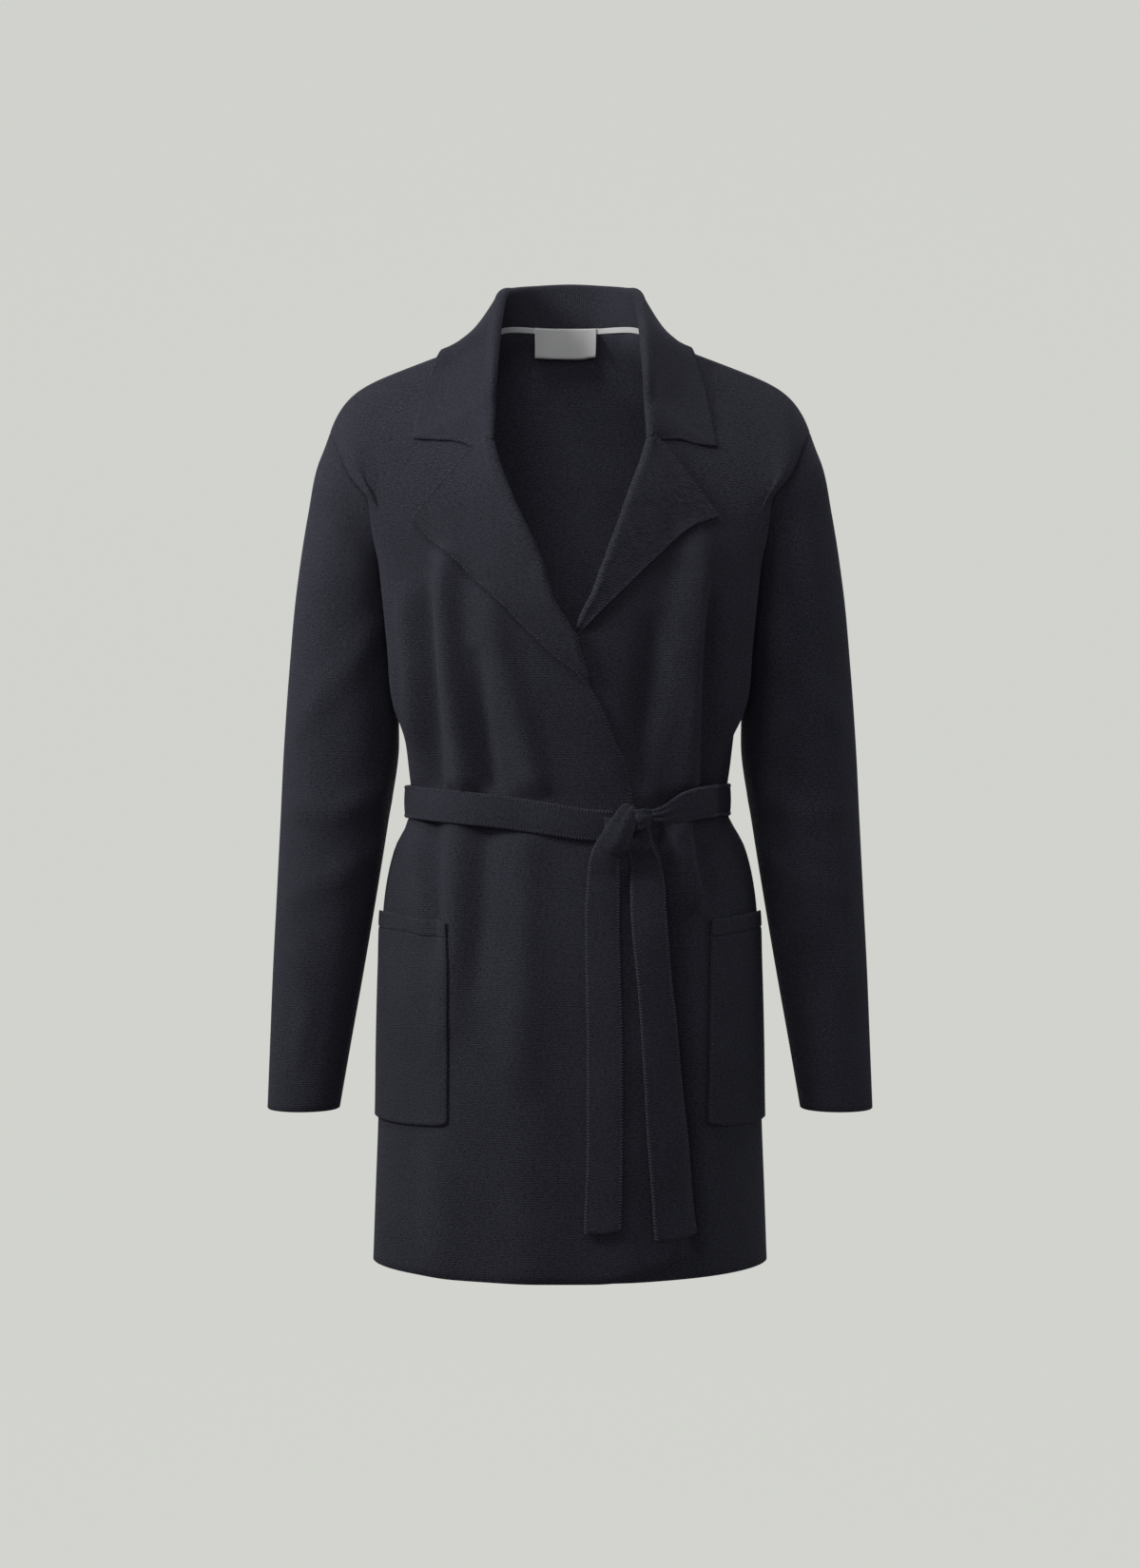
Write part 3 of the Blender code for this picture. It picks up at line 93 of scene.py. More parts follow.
# Body front, a level to each row from the hem to the shoulder seam
FRONT_LEVELS = table(
    LEVEL_COLUMNS,
    (-817, -817, 173.5, 12, -104, 1.00, 0, 1.0, 30),
    (-760, -760, 171.5, 12, -106, 0.98, 0, 1.0, 30),
    (-690, -690, 169.0, 13, -107, 0.96, 0, 1.0, 30),
    (-620, -620, 168.0, 14, -107, 0.94, 0, 1.0, 30),
    (-560, -560, 166.5, 15, -105, 0.93, 0, 1.0, 30),
    (-500, -500, 164.0, 16, -102, 0.93, 0, 1.0, 30),
    (-455, -455, 155.0, 17, -98, 0.94, 0, 1.0, 30),
    (-415, -415, 137.5, 18, -93, 0.95, 0, 1.0, 30),
    (-375, -375, 142.0, 18, -96, 0.93, 5, 1.0, 30),
    (-330, -330, 146.0, 18, -102, 0.91, 26, 1.0, 30),
    (-275, -275, 146.0, 18, -108, 0.90, 32, 1.0, 30),
    (-235, -218, 146.0, 18, -109, 0.90, 38, 1.0, 30),
    (-205, -207, 150.0, -14, -107, 0.90, 36, 1.0, 26),
    (-168, -180, 160.0, -40, -101, 0.92, 33, 1.0, 14),
    (-122, -150, 174.0, -46, -88, 0.96, 24, 1.0, 9),
    (-78, -130, 190.0, -39, -68, 1.00, 11, 0.9, 7),
    (-28, -103, 203.0, -19, -36, 1.00, 5, 0.8, 6),
    (10, -91, 209.0, -2, -12, 1.00, 0, 0.74, 6),
    (23.4, -85, 212.0, 12, 0, 1.00, 0, 0.724, 6),
)

# Body back, the same levels seen from behind
BACK_LEVELS = table(
    LEVEL_COLUMNS,
    (-817, -817, 173.5, 12, 104, 1.00, 0, 1.0, 30),
    (-760, -760, 171.5, 12, 106, 0.98, 0, 1.0, 30),
    (-690, -690, 169.0, 13, 107, 0.95, 0, 1.0, 30),
    (-620, -620, 168.0, 14, 108, 0.92, 0, 1.0, 30),
    (-560, -560, 166.5, 15, 105, 0.92, 0, 1.0, 30),
    (-500, -500, 164.0, 16, 96, 0.93, 0, 1.0, 30),
    (-455, -455, 155.0, 17, 86, 0.94, 0, 1.0, 30),
    (-415, -415, 137.5, 18, 80, 0.95, 0, 1.0, 30),
    (-375, -375, 142.0, 18, 84, 0.93, 2, 1.0, 30),
    (-330, -330, 146.0, 18, 90, 0.91, 6, 1.0, 30),
    (-275, -275, 146.0, 18, 96, 0.88, 10, 1.0, 30),
    (-232, -218, 146.0, 18, 99, 0.86, 12, 1.0, 30),
    (-200, -210, 149.0, 40, 101, 0.86, 10, 1.0, 20),
    (-160, -185, 157.0, 58, 101, 0.88, 8, 1.0, 12),
    (-112, -155, 170.0, 68, 98, 0.92, 3, 1.0, 7),
    (-68, -130, 186.0, 62, 93, 0.96, 0, 0.95, 6),
    (-26, -100, 200.0, 40, 84, 1.00, 0, 0.85, 6),
    (2, -91, 208.0, 25, 77, 1.00, 0, 0.78, 6),
)

# Back neck seam and shoulder seam, from the centre back to the shoulder tip
BACK_TOP = table(
    "x y z",
    (0, 70, 14.0),
    (26, 66, 13.5),
    (48, 50, 12.0),
    (64, 27, 6.5),
    (74, 9, -1.5),
    (78, 1.3, -5.5),
)

# Neck seam of a front and the turned roll line, as one line up the panel's inner edge
NECK_SEAM = table(
    "x z",
    (70.5, -107),
    (73.5, -92),
    (76.0, -66),
    (78.0, -36),
    (78.2, -18),
    (78.0, -5.5),
)

# Front edge below the break of the lapel, from the hem up, alike on both fronts below the belt
LOW_EDGE = (
    (94.0, -817),
    (93.6, -780),
    (90.0, -700),
    (84.0, -600),
    (79.0, -510),
    (74.0, -458),
    (62.0, -434),
    (53.0, -415),
)
RIGHT_EDGE = table(
    "x z",
    *LOW_EDGE,
    (49.3, -392),
    (44.5, -377),
    (37.2, -362),
    (29.2, -340),
    (16.4, -315),
)
LEFT_EDGE = table(
    "x z",
    *LOW_EDGE,
    (44.5, -377),
    (29.2, -340),
    (16.0, -312),
    (4.5, -290),
    (-5.5, -271),
)

# Lapels: the roll line and the free edge at the same steps, how far the flap has turned, and the
# clearance at the free edge. The last rows are the top edge from the point to the gorge.
LAPEL_COLUMNS = "roll_x roll_z edge_x edge_z turn radius"
RIGHT_LAPEL = table(
    LAPEL_COLUMNS,
    (16.0, -313.5, 15.6, -313.7, 20, 0.4),
    (13.8, -307.0, 8.4, -305.8, 110, 1.7),
    (10.5, -298, 0.5, -298.5, 165, 2.4),
    (5.0, -285, -13.0, -288, 180, 3.0),
    (-1.2, -270, -32.0, -270, 180, 3.2),
    (-28.5, -208, -92.0, -213.0, 180, 3.6),
    (-41.0, -179.5, -118.0, -188.8, 180, 4.0),
    (-53.0, -152, -133.8, -171.6, 180, 4.0),
    (-57.5, -141, -117.0, -150.0, 180, 4.0),
    (-61.6, -131, -101.0, -131.5, 180, 4.0),
    (-65.2, -118.5, -89.5, -118.5, 180, 4.0),
    (-68.0, -107.5, -81.9, -110.4, 180, 4.0),
)
LEFT_LAPEL = table(
    LAPEL_COLUMNS,
    (-5.9, -270.2, -6.4, -270.2, 20, 0.4),
    (-7.4, -266.6, -11.4, -266.0, 100, 1.5),
    (-9.5, -262, -16.0, -261.5, 165, 2.4),
    (-14.5, -251, -27.0, -250, 180, 3.0),
    (-32.5, -209, -66.0, -211, 180, 3.4),
    (-41.0, -185, -88.0, -190.5, 180, 3.6),
    (-48.0, -165, -108.0, -176.8, 180, 3.8),
    (-53.5, -150, -125.3, -169.0, 180, 4.0),
    (-58.0, -138, -110.0, -148.6, 180, 4.0),
    (-62.5, -126, -96.0, -130.5, 180, 4.0),
    (-65.8, -115, -84.5, -115.0, 180, 4.0),
    (-68.8, -105, -75.4, -104.2, 180, 4.0),
)

# Sleeve rings below the cap, given by their outer and inner points seen from the front
SLEEVE_RINGS = table(
    "x_out z_out x_in z_in y_centre half_depth square",
    (222.0, -113, 153.5, -222, 15, 58, 0.92),
    (231.5, -158, 155.0, -235, 18, 60, 0.90),
    (242.0, -225, 155.5, -261, 22, 61, 0.88),
    (248.5, -292, 155.0, -306, 24, 60, 0.88),
    (253.5, -360, 153.8, -360, 24, 57, 0.90),
    (256.7, -427, 162.7, -427, 22, 52, 0.92),
    (259.7, -494, 173.0, -494, 18, 46, 0.94),
    (262.5, -561, 183.9, -561, 12, 41, 0.96),
    (264.4, -628, 195.3, -628, 5, 36, 0.98),
    (266.0, -682, 204.3, -682, 0, 32, 1.00),
)

# Collar sections from the gorge round to the centre back, in the half on that side. The roll is
# where the stand turns over, upright says how far the turn faces up, and ON_FRONT lies on the front.
COLLAR_COLUMNS = (
    "seam_x seam_y seam_z roll_x roll_y roll_z leaf_x leaf_y leaf_z edge_x edge_y edge_z upright radius rest"
)
COLLAR_BEHIND = (
    (50.0, 48.3, 12.1, 47.0, 50, 46.5, 66, 72, 20.0, 80.0, 90, -14.0, 1.0, 4.6, 0),
    (27.0, 65.8, 13.7, 29.0, 66, 51.5, 37, 88, 24.0, 44.0, 103, -14.0, 1.0, 4.6, 0),
    (0.0, 70, 14.2, 0.0, 71.5, 54.0, 0, 93, 24.0, 0.0, 107, -14.0, 1.0, 4.6, 0),
)
RIGHT_COLLAR = table(
    COLLAR_COLUMNS,
    (72.0, ON_FRONT, -105.2, 67.0, ON_FRONT, -106.3, 0, ON_FRONT, 0, 81.9, ON_FRONT, -109.0, 0.0, 2.8, 2.6),
    (74.0, ON_FRONT, -97, 67.0, ON_FRONT, -97.5, 0, ON_FRONT, 0, 98.5, ON_FRONT, -102.6, 0.0, 2.9, 2.6),
    (76.0, ON_FRONT, -84, 66.8, ON_FRONT, -86.0, 0, ON_FRONT, 0, 116.5, ON_FRONT, -100.6, 0.05, 3.1, 2.3),
    (77.0, ON_FRONT, -68, 66.2, ON_FRONT, -72.0, 0, ON_FRONT, 0, 135.2, ON_FRONT, -97.0, 0.1, 3.2, 2.4),
    (77.8, ON_FRONT, -48, 65.4, -45, -50.0, 0, ON_FRONT, 0, 130.8, ON_FRONT, -73.0, 0.2, 3.5, 1.8),
    (78.2, ON_FRONT, -26, 63.5, -22, -18.0, 0, ON_FRONT, 0, 124.0, ON_FRONT, -47.0, 0.4, 4.1, 0.6),
    (78.0, 1, -5.0, 60.0, 4, 15.0, 86, 1, 1.0, 112.0, 2, -13.5, 0.8, 4.2, 0),
    (66.0, 23, 6.0, 56.5, 30, 40.0, 82, 38, 14.0, 104.0, 50, -15.0, 1.0, 4.4, 0),
    *COLLAR_BEHIND,
)
LEFT_COLLAR = table(
    COLLAR_COLUMNS,
    (72.0, ON_FRONT, -102.6, 67.6, ON_FRONT, -103.7, 0, ON_FRONT, 0, 75.6, ON_FRONT, -102.4, 0.0, 2.8, 2.6),
    (74.0, ON_FRONT, -95, 67.4, ON_FRONT, -96.0, 0, ON_FRONT, 0, 92.0, ON_FRONT, -101.3, 0.0, 2.9, 2.6),
    (76.0, ON_FRONT, -83, 67.0, ON_FRONT, -85.0, 0, ON_FRONT, 0, 109.0, ON_FRONT, -104.8, 0.05, 3.1, 2.3),
    (77.0, ON_FRONT, -68, 66.2, ON_FRONT, -72.0, 0, ON_FRONT, 0, 125.9, ON_FRONT, -106.6, 0.1, 3.2, 2.4),
    (77.8, ON_FRONT, -48, 65.4, -45, -50.0, 0, ON_FRONT, 0, 121.0, ON_FRONT, -76.0, 0.2, 3.5, 1.8),
    (78.2, ON_FRONT, -26, 63.5, -22, -18.0, 0, ON_FRONT, 0, 115.5, ON_FRONT, -46.0, 0.4, 4.1, 0.6),
    (78.0, 1, -5.0, 60.0, 4, 15.0, 84, 1, 1.0, 106.0, 2, -11.5, 0.8, 4.2, 0),
    (66.0, 23, 6.0, 56.5, 30, 40.0, 81, 38, 14.0, 101.0, 50, -14.0, 1.0, 4.4, 0),
    *COLLAR_BEHIND,
)

# Folds in the body cloth: a path of x and z, the width on the left and on the right of it, how far the
# ridge stands out, negative for a valley, and how long it takes to rise and to die away
FRONT_FOLDS = (
    ("side ridge right", ((-140, -235), (-134, -297), (-131, -370), (-130, -402)), 10, 10, 6.5, 60, 5),
    ("side hollow right", ((-119, -235), (-115, -300), (-111, -402)), 8, 7, -5.5, 60, 5),
    ("waist ridge right", ((-103, -205), (-97, -297), (-87, -368), (-84, -402)), 12, 10, 13.5, 60, 5),
    ("waist hollow right", ((-76, -290), (-70, -350), (-64, -402)), 8, 9, -6.5, 60, 5),
    ("middle ridge right", ((-68, -240), (-55, -297), (-35, -368), (-28, -402)), 14, 12, 8.0, 80, 5),
    ("waist pucker right", ((-98, -372), (-99, -404)), 4, 4, 2.2, 25, 5),
    ("chest drag right", ((-104, -180), (-84, -240), (-66, -330)), 13, 13, 2.5, 50, 50),
    ("waist ridge left", ((92, -225), (80, -330), (66, -404)), 10, 10, 4.0, 60, 5),
    ("crease left", ((109, -190), (101, -295), (99, -404)), 16, 8, 13.5, 80, 5),
    ("side hollow left", ((121, -240), (117, -330), (115, -404)), 7, 9, -6.5, 70, 5),
    ("middle hollow left", ((74, -260), (66, -340), (62, -402)), 14, 13, -6.0, 60, 5),
    (
        "skirt gap left",
        ((80, -436), (86, -470), (92, -540), (97, -640), (103, -740), (106, -790)),
        7,
        8,
        -11.0,
        8,
        110,
    ),
    ("skirt pleat left", ((94, -425), (99, -465), (107, -500)), 12, 6, 11.0, 5, 26),
    ("skirt hollow left", ((110, -430), (116, -475), (124, -505)), 7, 9, -5.5, 5, 40),
    ("skirt pleat right", ((-134, -425), (-128, -470), (-120, -520)), 12, 10, 6.5, 5, 50),
    ("skirt hollow right", ((-116, -425), (-110, -480), (-106, -540)), 8, 8, -4.0, 5, 60),
    ("skirt ridge right", ((-92, -425), (-94, -500), (-97, -600)), 14, 12, 8.0, 5, 130),
    ("skirt valley right", ((-70, -425), (-74, -500), (-77, -570)), 11, 11, -5.0, 5, 90),
    ("skirt band right", ((-36, -440), (-38, -520), (-40, -640)), 16, 16, 5.5, 10, 130),
    ("skirt wave right", ((-40, -560), (-36, -680), (-30, -817)), 24, 24, 4.0, 90, 5),
    ("skirt side wave", ((-108, -690), (-112, -817)), 22, 22, 3.5, 90, 5),
    ("skirt wave left", ((48, -520), (50, -640), (52, -817)), 22, 22, 3.0, 90, 5),
)
BACK_FOLDS = (
    ("centre wave", ((6, -300), (4, -400)), 14, 14, 4.0, 70, 5),
    ("left ridge", ((78, -250), (70, -400)), 12, 12, 4.5, 80, 5),
    ("right ridge", ((-74, -240), (-66, -400)), 12, 12, 4.5, 80, 5),
    ("left side ridge", ((118, -280), (108, -400)), 12, 12, 4.0, 70, 5),
    ("right side ridge", ((-120, -290), (-110, -400)), 12, 12, 4.0, 70, 5),
    ("skirt left", ((58, -425), (70, -560), (78, -700)), 18, 18, 5.0, 5, 140),
    ("skirt right", ((-52, -425), (-64, -560), (-74, -700)), 18, 18, 5.0, 5, 140),
    ("skirt centre", ((4, -425), (2, -600), (0, -760)), 20, 20, 3.5, 5, 160),
)

# Folds in the sleeves: a path of degrees round the sleeve, from the outer side towards the front, and
# height, then the width, how far it stands out and the length of its soft ends
SLEEVE_FOLDS = (
    ("drag from underarm", ((140, -250), (95, -300), (50, -350)), 14, 3.0, 40),
    ("elbow front", ((150, -400), (90, -425), (40, -415)), 13, 3.0, 40),
    ("elbow low", ((160, -450), (100, -480), (45, -500)), 13, 2.5, 40),
    ("forearm", ((60, -540), (85, -590), (80, -640)), 12, 2.0, 35),
    ("back drag", ((215, -260), (265, -320), (300, -370)), 14, 3.0, 40),
    ("back elbow", ((200, -410), (260, -430), (310, -420)), 13, 3.0, 40),
)

# The belt's middle line in front and half its height
BELT_LINE = table(
    "x z half_height",
    (-142, -411.5, 13.3),
    (-105, -415.0, 13.3),
    (-60, -420.0, 13.2),
    (-20, -426.0, 13.0),
    (24, -432.0, 12.2),
    (56, -425.0, 4.6),
    (67, -423.6, 6.0),
    (84, -417.5, 11.8),
    (112, -411.5, 13.2),
    (142, -410.5, 13.3),
)

# The two hanging ends of the belt, where they lie on the skirt
BELT_END_RIGHT = table(
    "z left right clearance",
    (-477, 14.8, 39.6, 10.4),
    (-505, 13.1, 40.2, 8.6),
    (-560, 13.9, 41.8, 6.6),
    (-616, 14.7, 43.4, 6.1),
    (-696, 14.7, 43.4, 6.1),
    (-772, 12.0, 42.0, 6.1),
)
BELT_END_LEFT = table(
    "z left right clearance",
    (-462, 49.0, 71.0, 9.6),
    (-475, 49.2, 73.6, 9.6),
    (-505, 49.8, 75.5, 10.2),
    (-592, 56.2, 82.0, 10.8),
    (-680, 60.9, 88.5, 10.8),
    (-779, 67.3, 96.0, 11.0),
)

# Where each end comes out of the knot: the middle of the strip, its half width and how it leans
HEAD_RIGHT = table(
    "x y z half lean crown",
    (41.5, -106.0, -434.0, 8.5, -30, 0.5),
    (35.5, -111.5, -445.0, 10.6, -27, 1.4),
    (31.0, -113.0, -454.5, 11.8, -18, 1.6),
    (28.6, -111.5, -464.0, 12.0, -6, 1.0),
)
HEAD_LEFT = table(
    "x y z half lean crown",
    (57.5, -105.0, -430.0, 7.5, 4, 0.5),
    (58.0, -110.5, -439.5, 9.4, 6, 1.2),
    (59.0, -111.5, -450.0, 10.6, 4, 1.4),
)

# Strips inside the knot, each from the wearer's right to the left
KNOT_COLUMNS = "x y z half lean crown pleat"
KNOT_STRANDS = {
    "knot_lobe": table(
        KNOT_COLUMNS,
        (52.0, -110.0, -416.8, 5.0, -36, 0.8, 0.3),
        (48.6, -119.0, -421.5, 8.0, -38, 2.2, 0.5),
        (44.0, -124.0, -431.5, 10.6, -38, 3.2, 0.5),
        (38.5, -123.5, -442.5, 12.2, -35, 3.4, 0.4),
        (34.4, -119.0, -450.0, 11.6, -35, 2.6, 0.2),
        (33.4, -112.5, -452.2, 9.5, -36, 1.0, 0),
    ),
    "knot_wrap": table(
        KNOT_COLUMNS,
        (40.0, -111.0, -428.5, 8.2, 90, 0.8, 0.2),
        (50.0, -117.0, -428.0, 8.6, 86, 1.8, 0.4),
        (58.0, -119.0, -427.0, 8.4, 84, 2.4, 0.6),
        (63.5, -116.0, -425.4, 6.8, 84, 1.8, 0.7),
        (67.0, -109.5, -424.4, 5.4, 88, 0.8, 0.7),
    ),
    "knot_under": table(
        KNOT_COLUMNS,
        (30.0, -104.0, -434.0, 8.0, 90, 1.0, 0.2),
        (42.0, -107.5, -433.0, 7.5, 88, 1.2, 0.2),
        (54.0, -107.5, -430.0, 7.0, 86, 1.0, 0.3),
        (62.0, -104.5, -427.0, 6.0, 88, 0.8, 0.4),
    ),
}


def even_slopes(knots, values):
    """Slopes at the knots, along the first axis, held back so that the curve never overshoots."""
    steps = np.diff(knots).reshape((-1,) + (1,) * (values.ndim - 1))
    legs = np.diff(values, axis=0) / steps
    before = np.concatenate((legs[:1], legs))
    after = np.concatenate((legs, legs[-1:]))
    slopes = np.gradient(values, knots, axis=0)
    most = 2.6 * np.minimum(np.abs(before), np.abs(after))
    slopes = np.clip(slopes, -most, most)
    return np.where(before * after > 0, slopes, 0)


def smooth(knots, values, at):
    """A curve through the values at the knots, without a kink at any of them."""
    knots = np.asarray(knots, float)
    values = np.asarray(values, float)
    at = np.asarray(at, float)
    slopes = even_slopes(knots, values)
    index = step_of(knots, at)
    span = knots[index + 1] - knots[index]
    part = np.clip((at - knots[index]) / span, 0, 1)
    before = slopes[index] * span
    after = slopes[index + 1] * span
    return hermite(values[index], values[index + 1], before, after, part)


def step_of(knots, at):
    """Which step between the knots each place is in."""
    return np.clip(np.searchsorted(knots, at, side="right") - 1, 0, len(knots) - 2)


def hermite(start, end, start_slope, end_slope, part):
    """A point on a smooth curve from start to end, the slopes being for the whole step."""
    squared = part * part
    cubed = squared * part
    return (
        start * (2 * cubed - 3 * squared + 1)
        + start_slope * (cubed - 2 * squared + part)
        + end * (3 * squared - 2 * cubed)
        + end_slope * (cubed - squared)
    )


def ease(value, low, high):
    """0 below low, 1 above high, and a soft step between."""
    part = np.clip((value - low) / (high - low), 0, 1)
    return part * part * (3 - 2 * part)


def unit(vectors):
    """The same directions, each with a length of one."""
    length = np.linalg.norm(vectors, axis=-1, keepdims=True)
    return vectors / np.maximum(length, 1e-9)


def running(steps):
    """The length so far before each step and at the end."""
    return np.concatenate(([0], np.cumsum(steps)))


def at_run(at, run, values):
    """Points or directions at these lengths along a line that has them at each run."""
    return np.stack([np.interp(at, run, values[:, axis]) for axis in range(3)], axis=-1)


def along_path(path, x, z):
    """How far each point lies across and along a path of straight legs, and the path's length."""
    best = np.full(np.shape(x), 1e9)
    across = np.zeros(np.shape(x))
    along = np.zeros(np.shape(x))
    run = 0.0
    for (x0, z0), (x1, z1) in zip(path[:-1], path[1:]):
        leg = math.hypot(x1 - x0, z1 - z0)
        ux = (x1 - x0) / leg
        uz = (z1 - z0) / leg
        reach = (x - x0) * ux + (z - z0) * uz
        inside = np.clip(reach, 0, leg)
        side = (x - x0) * uz - (z - z0) * ux
        distance = np.hypot(x - x0 - inside * ux, z - z0 - inside * uz)
        nearer = distance < best
        best = np.where(nearer, distance, best)
        across = np.where(nearer, np.where(side < 0, -distance, distance), across)
        along = np.where(nearer, run + reach, along)
        run += leg
    return across, along, run


def fold_height(folds, x, z):
    """The sum of the folds at each point of a body half."""
    total = np.zeros(np.shape(x))
    for _, path, width_left, width_right, height, fade_start, fade_end in folds:
        across, along, length = along_path(path, x, z)
        width = np.where(across < 0, width_right, width_left)
        rise = np.exp(-((across / width) ** 2))
        rise = rise * ease(along, -fade_start * 0.5, fade_start * 0.5)
        rise = rise * ease(length - along, -fade_end * 0.5, fade_end * 0.5)
        total += height * rise
    return total


class Half:
    """The front or the back of the body, lofted through its levels."""

    def __init__(self, levels, folds, outward, top=None):
        self.levels = levels
        self.folds = folds
        self.outward = outward
        self.top = top
        middle = self.level_points(np.array([0.9]))[0]
        side = self.level_points(np.array([QUARTER_TURN]))[0]
        steps = np.linalg.norm(np.diff(middle, axis=0), axis=1)
        run = running(steps + np.linalg.norm(np.diff(side, axis=0), axis=1))
        self.knots = run / run[-1]
        self.underarm = self.knots[UNDERARM_LEVEL]

    def level_points(self, angle):
        """Where each level stands at each angle: 0 at the centre and a quarter turn at the side."""
        one = self.levels
        sine = np.abs(np.sin(angle))[:, None] ** one["square"]
        cosine = np.abs(np.cos(angle))[:, None] ** one["square"]
        sharp = np.abs(np.sin(angle))[:, None] ** one["reach"]
        bulge = np.clip((np.degrees(np.abs(angle))[:, None] - 30) / 50, 0, 1)
        x = one["x_side"] * sine + one["ridge"] * np.sin(math.pi * bulge) ** 2
        y = SIDE_Y + (one["y_centre"] - SIDE_Y) * cosine + (one["y_side"] - SIDE_Y) * sharp
        share = one["straight"] * sine + (1 - one["straight"]) * sine**16
        z = one["z_centre"] + (one["z_side"] - one["z_centre"]) * share
        points = np.stack((x, y, z), axis=-1)
        if self.top is not None:
            points = np.concatenate((points, self.top(np.abs(angle))[:, None, :]), axis=1)
        points[..., 0] *= np.where(angle < 0, -1, 1)[:, None]
        return points

    def bare(self, angle, rise):
        """The body without folds at an angle and at a part of the way up."""
        points = self.level_points(angle)
        slopes = np.swapaxes(even_slopes(self.knots, np.swapaxes(points, 0, 1)), 0, 1)
        index = step_of(self.knots, rise)
        row = np.arange(len(angle))
        span = (self.knots[index + 1] - self.knots[index])[:, None]
        part = ((rise - self.knots[index]) / span[:, 0])[:, None]
        return hermite(
            points[row, index],
            points[row, index + 1],
            slopes[row, index] * span,
            slopes[row, index + 1] * span,
            part,
        )

    def point(self, angle, rise, lift=0.0):
        """Points on the cloth, moved out by the folds and by the lift asked for."""
        shape = np.shape(angle)
        angle = np.ravel(np.asarray(angle, float))
        rise = np.ravel(np.broadcast_to(rise, shape)).astype(float)
        base = self.bare(angle, rise)
        height = fold_height(self.folds, base[:, 0], base[:, 2])
        height = height * ease(QUARTER_TURN - np.abs(angle), 0.02, 0.35)
        amount = height + np.ravel(np.broadcast_to(lift, shape))
        out = np.stack((np.sin(angle), np.cos(angle) * self.outward, np.zeros(len(angle))), axis=-1)
        return (base + out * amount[:, None]).reshape(shape + (3,))

    def normal(self, angle, rise):
        """The outward direction of the cloth."""
        step = 2e-3
        over = np.clip(np.asarray(rise, float) + step, 0, 1)
        under = np.clip(np.asarray(rise, float) - step, 0, 1)
        ahead = np.minimum(angle + step, QUARTER_TURN)
        behind = np.maximum(angle - step, -QUARTER_TURN)
        across = self.point(ahead, rise) - self.point(behind, rise)
        upward = self.point(angle, over) - self.point(angle, under)
        return unit(np.cross(across, upward)) * -self.outward

    def find(self, x, z, axis=0, side=1):
        """The angle and rise of the cloth at a place seen from in front, or from the side with axis 1."""
        x = np.asarray(x, float)
        z = np.asarray(z, float)
        knots = self.knots[: len(self.levels["z_centre"])]
        rise = np.interp(z, self.levels["z_centre"], knots)
        if axis == 0:
            half = np.interp(rise, knots, self.levels["x_side"])
            angle = np.arcsin(np.clip(x / half, -0.96, 0.96))
            limit = 1.5
        else:
            side_y = np.interp(rise, knots, self.levels["y_side"])
            centre = np.interp(rise, knots, self.levels["y_centre"])
            angle = np.arccos(np.clip((x - side_y) / (centre - side_y), 0.02, 0.98)) * side
            limit = 1.57
        step = 1e-4
        for _ in range(24):
            here = self.point(angle, rise)
            turned = (self.point(angle + step, rise) - here) / step
            raised = (self.point(angle, rise + step) - here) / step
            miss_x = x - here[..., axis]
            miss_z = z - here[..., 2]
            area = turned[..., axis] * raised[..., 2] - turned[..., 2] * raised[..., axis]
            area = np.where(np.abs(area) < 1e-3, 1e-3, area)
            angle_step = (miss_x * raised[..., 2] - miss_z * raised[..., axis]) / area
            rise_step = (miss_z * turned[..., axis] - miss_x * turned[..., 2]) / area
            angle = np.clip(angle + np.clip(angle_step, -0.1, 0.1), -limit, limit)
            rise = np.clip(rise + np.clip(rise_step, -0.05, 0.05), 0, 1)
        return angle, rise

    def over(self, x, z, clearance):
        """Points that lie on the cloth at these places, moved out along its normal."""
        angle, rise = self.find(x, z)
        return self.point(angle, rise) + self.normal(angle, rise) * np.asarray(clearance)[..., None]


def back_top(angle):
    """The top edge of the back: the neck seam, then the shoulder seam to its tip."""
    sine = np.sin(angle)
    x = SHOULDER_HALF_WIDTH * sine
    z = 23.4 - 78.5 * sine - 29.9 * sine**16
    y = SIDE_Y * (1 - np.cos(angle)) - 6.0 * sine**6
    neck_y = np.interp(x, BACK_TOP["x"], BACK_TOP["y"])
    neck_z = np.interp(x, BACK_TOP["x"], BACK_TOP["z"])
    inside = x < NECK_HALF_WIDTH
    return np.stack((x, np.where(inside, neck_y, y), np.where(inside, neck_z, z)), axis=-1)


FRONT = Half(FRONT_LEVELS, FRONT_FOLDS, -1)
BACK = Half(BACK_LEVELS, BACK_FOLDS, 1, back_top)
NECK_ANGLE = math.asin(NECK_HALF_WIDTH / SHOULDER_HALF_WIDTH)


def lap_lift(side, x, z):
    """How far the right front stands off the left front under it. The left front lies as it is."""
    if side > 0:
        return np.zeros(np.shape(x))
    return LAP_LIFT * ease(x, -135, -98) * ease(-z, 200, 262)


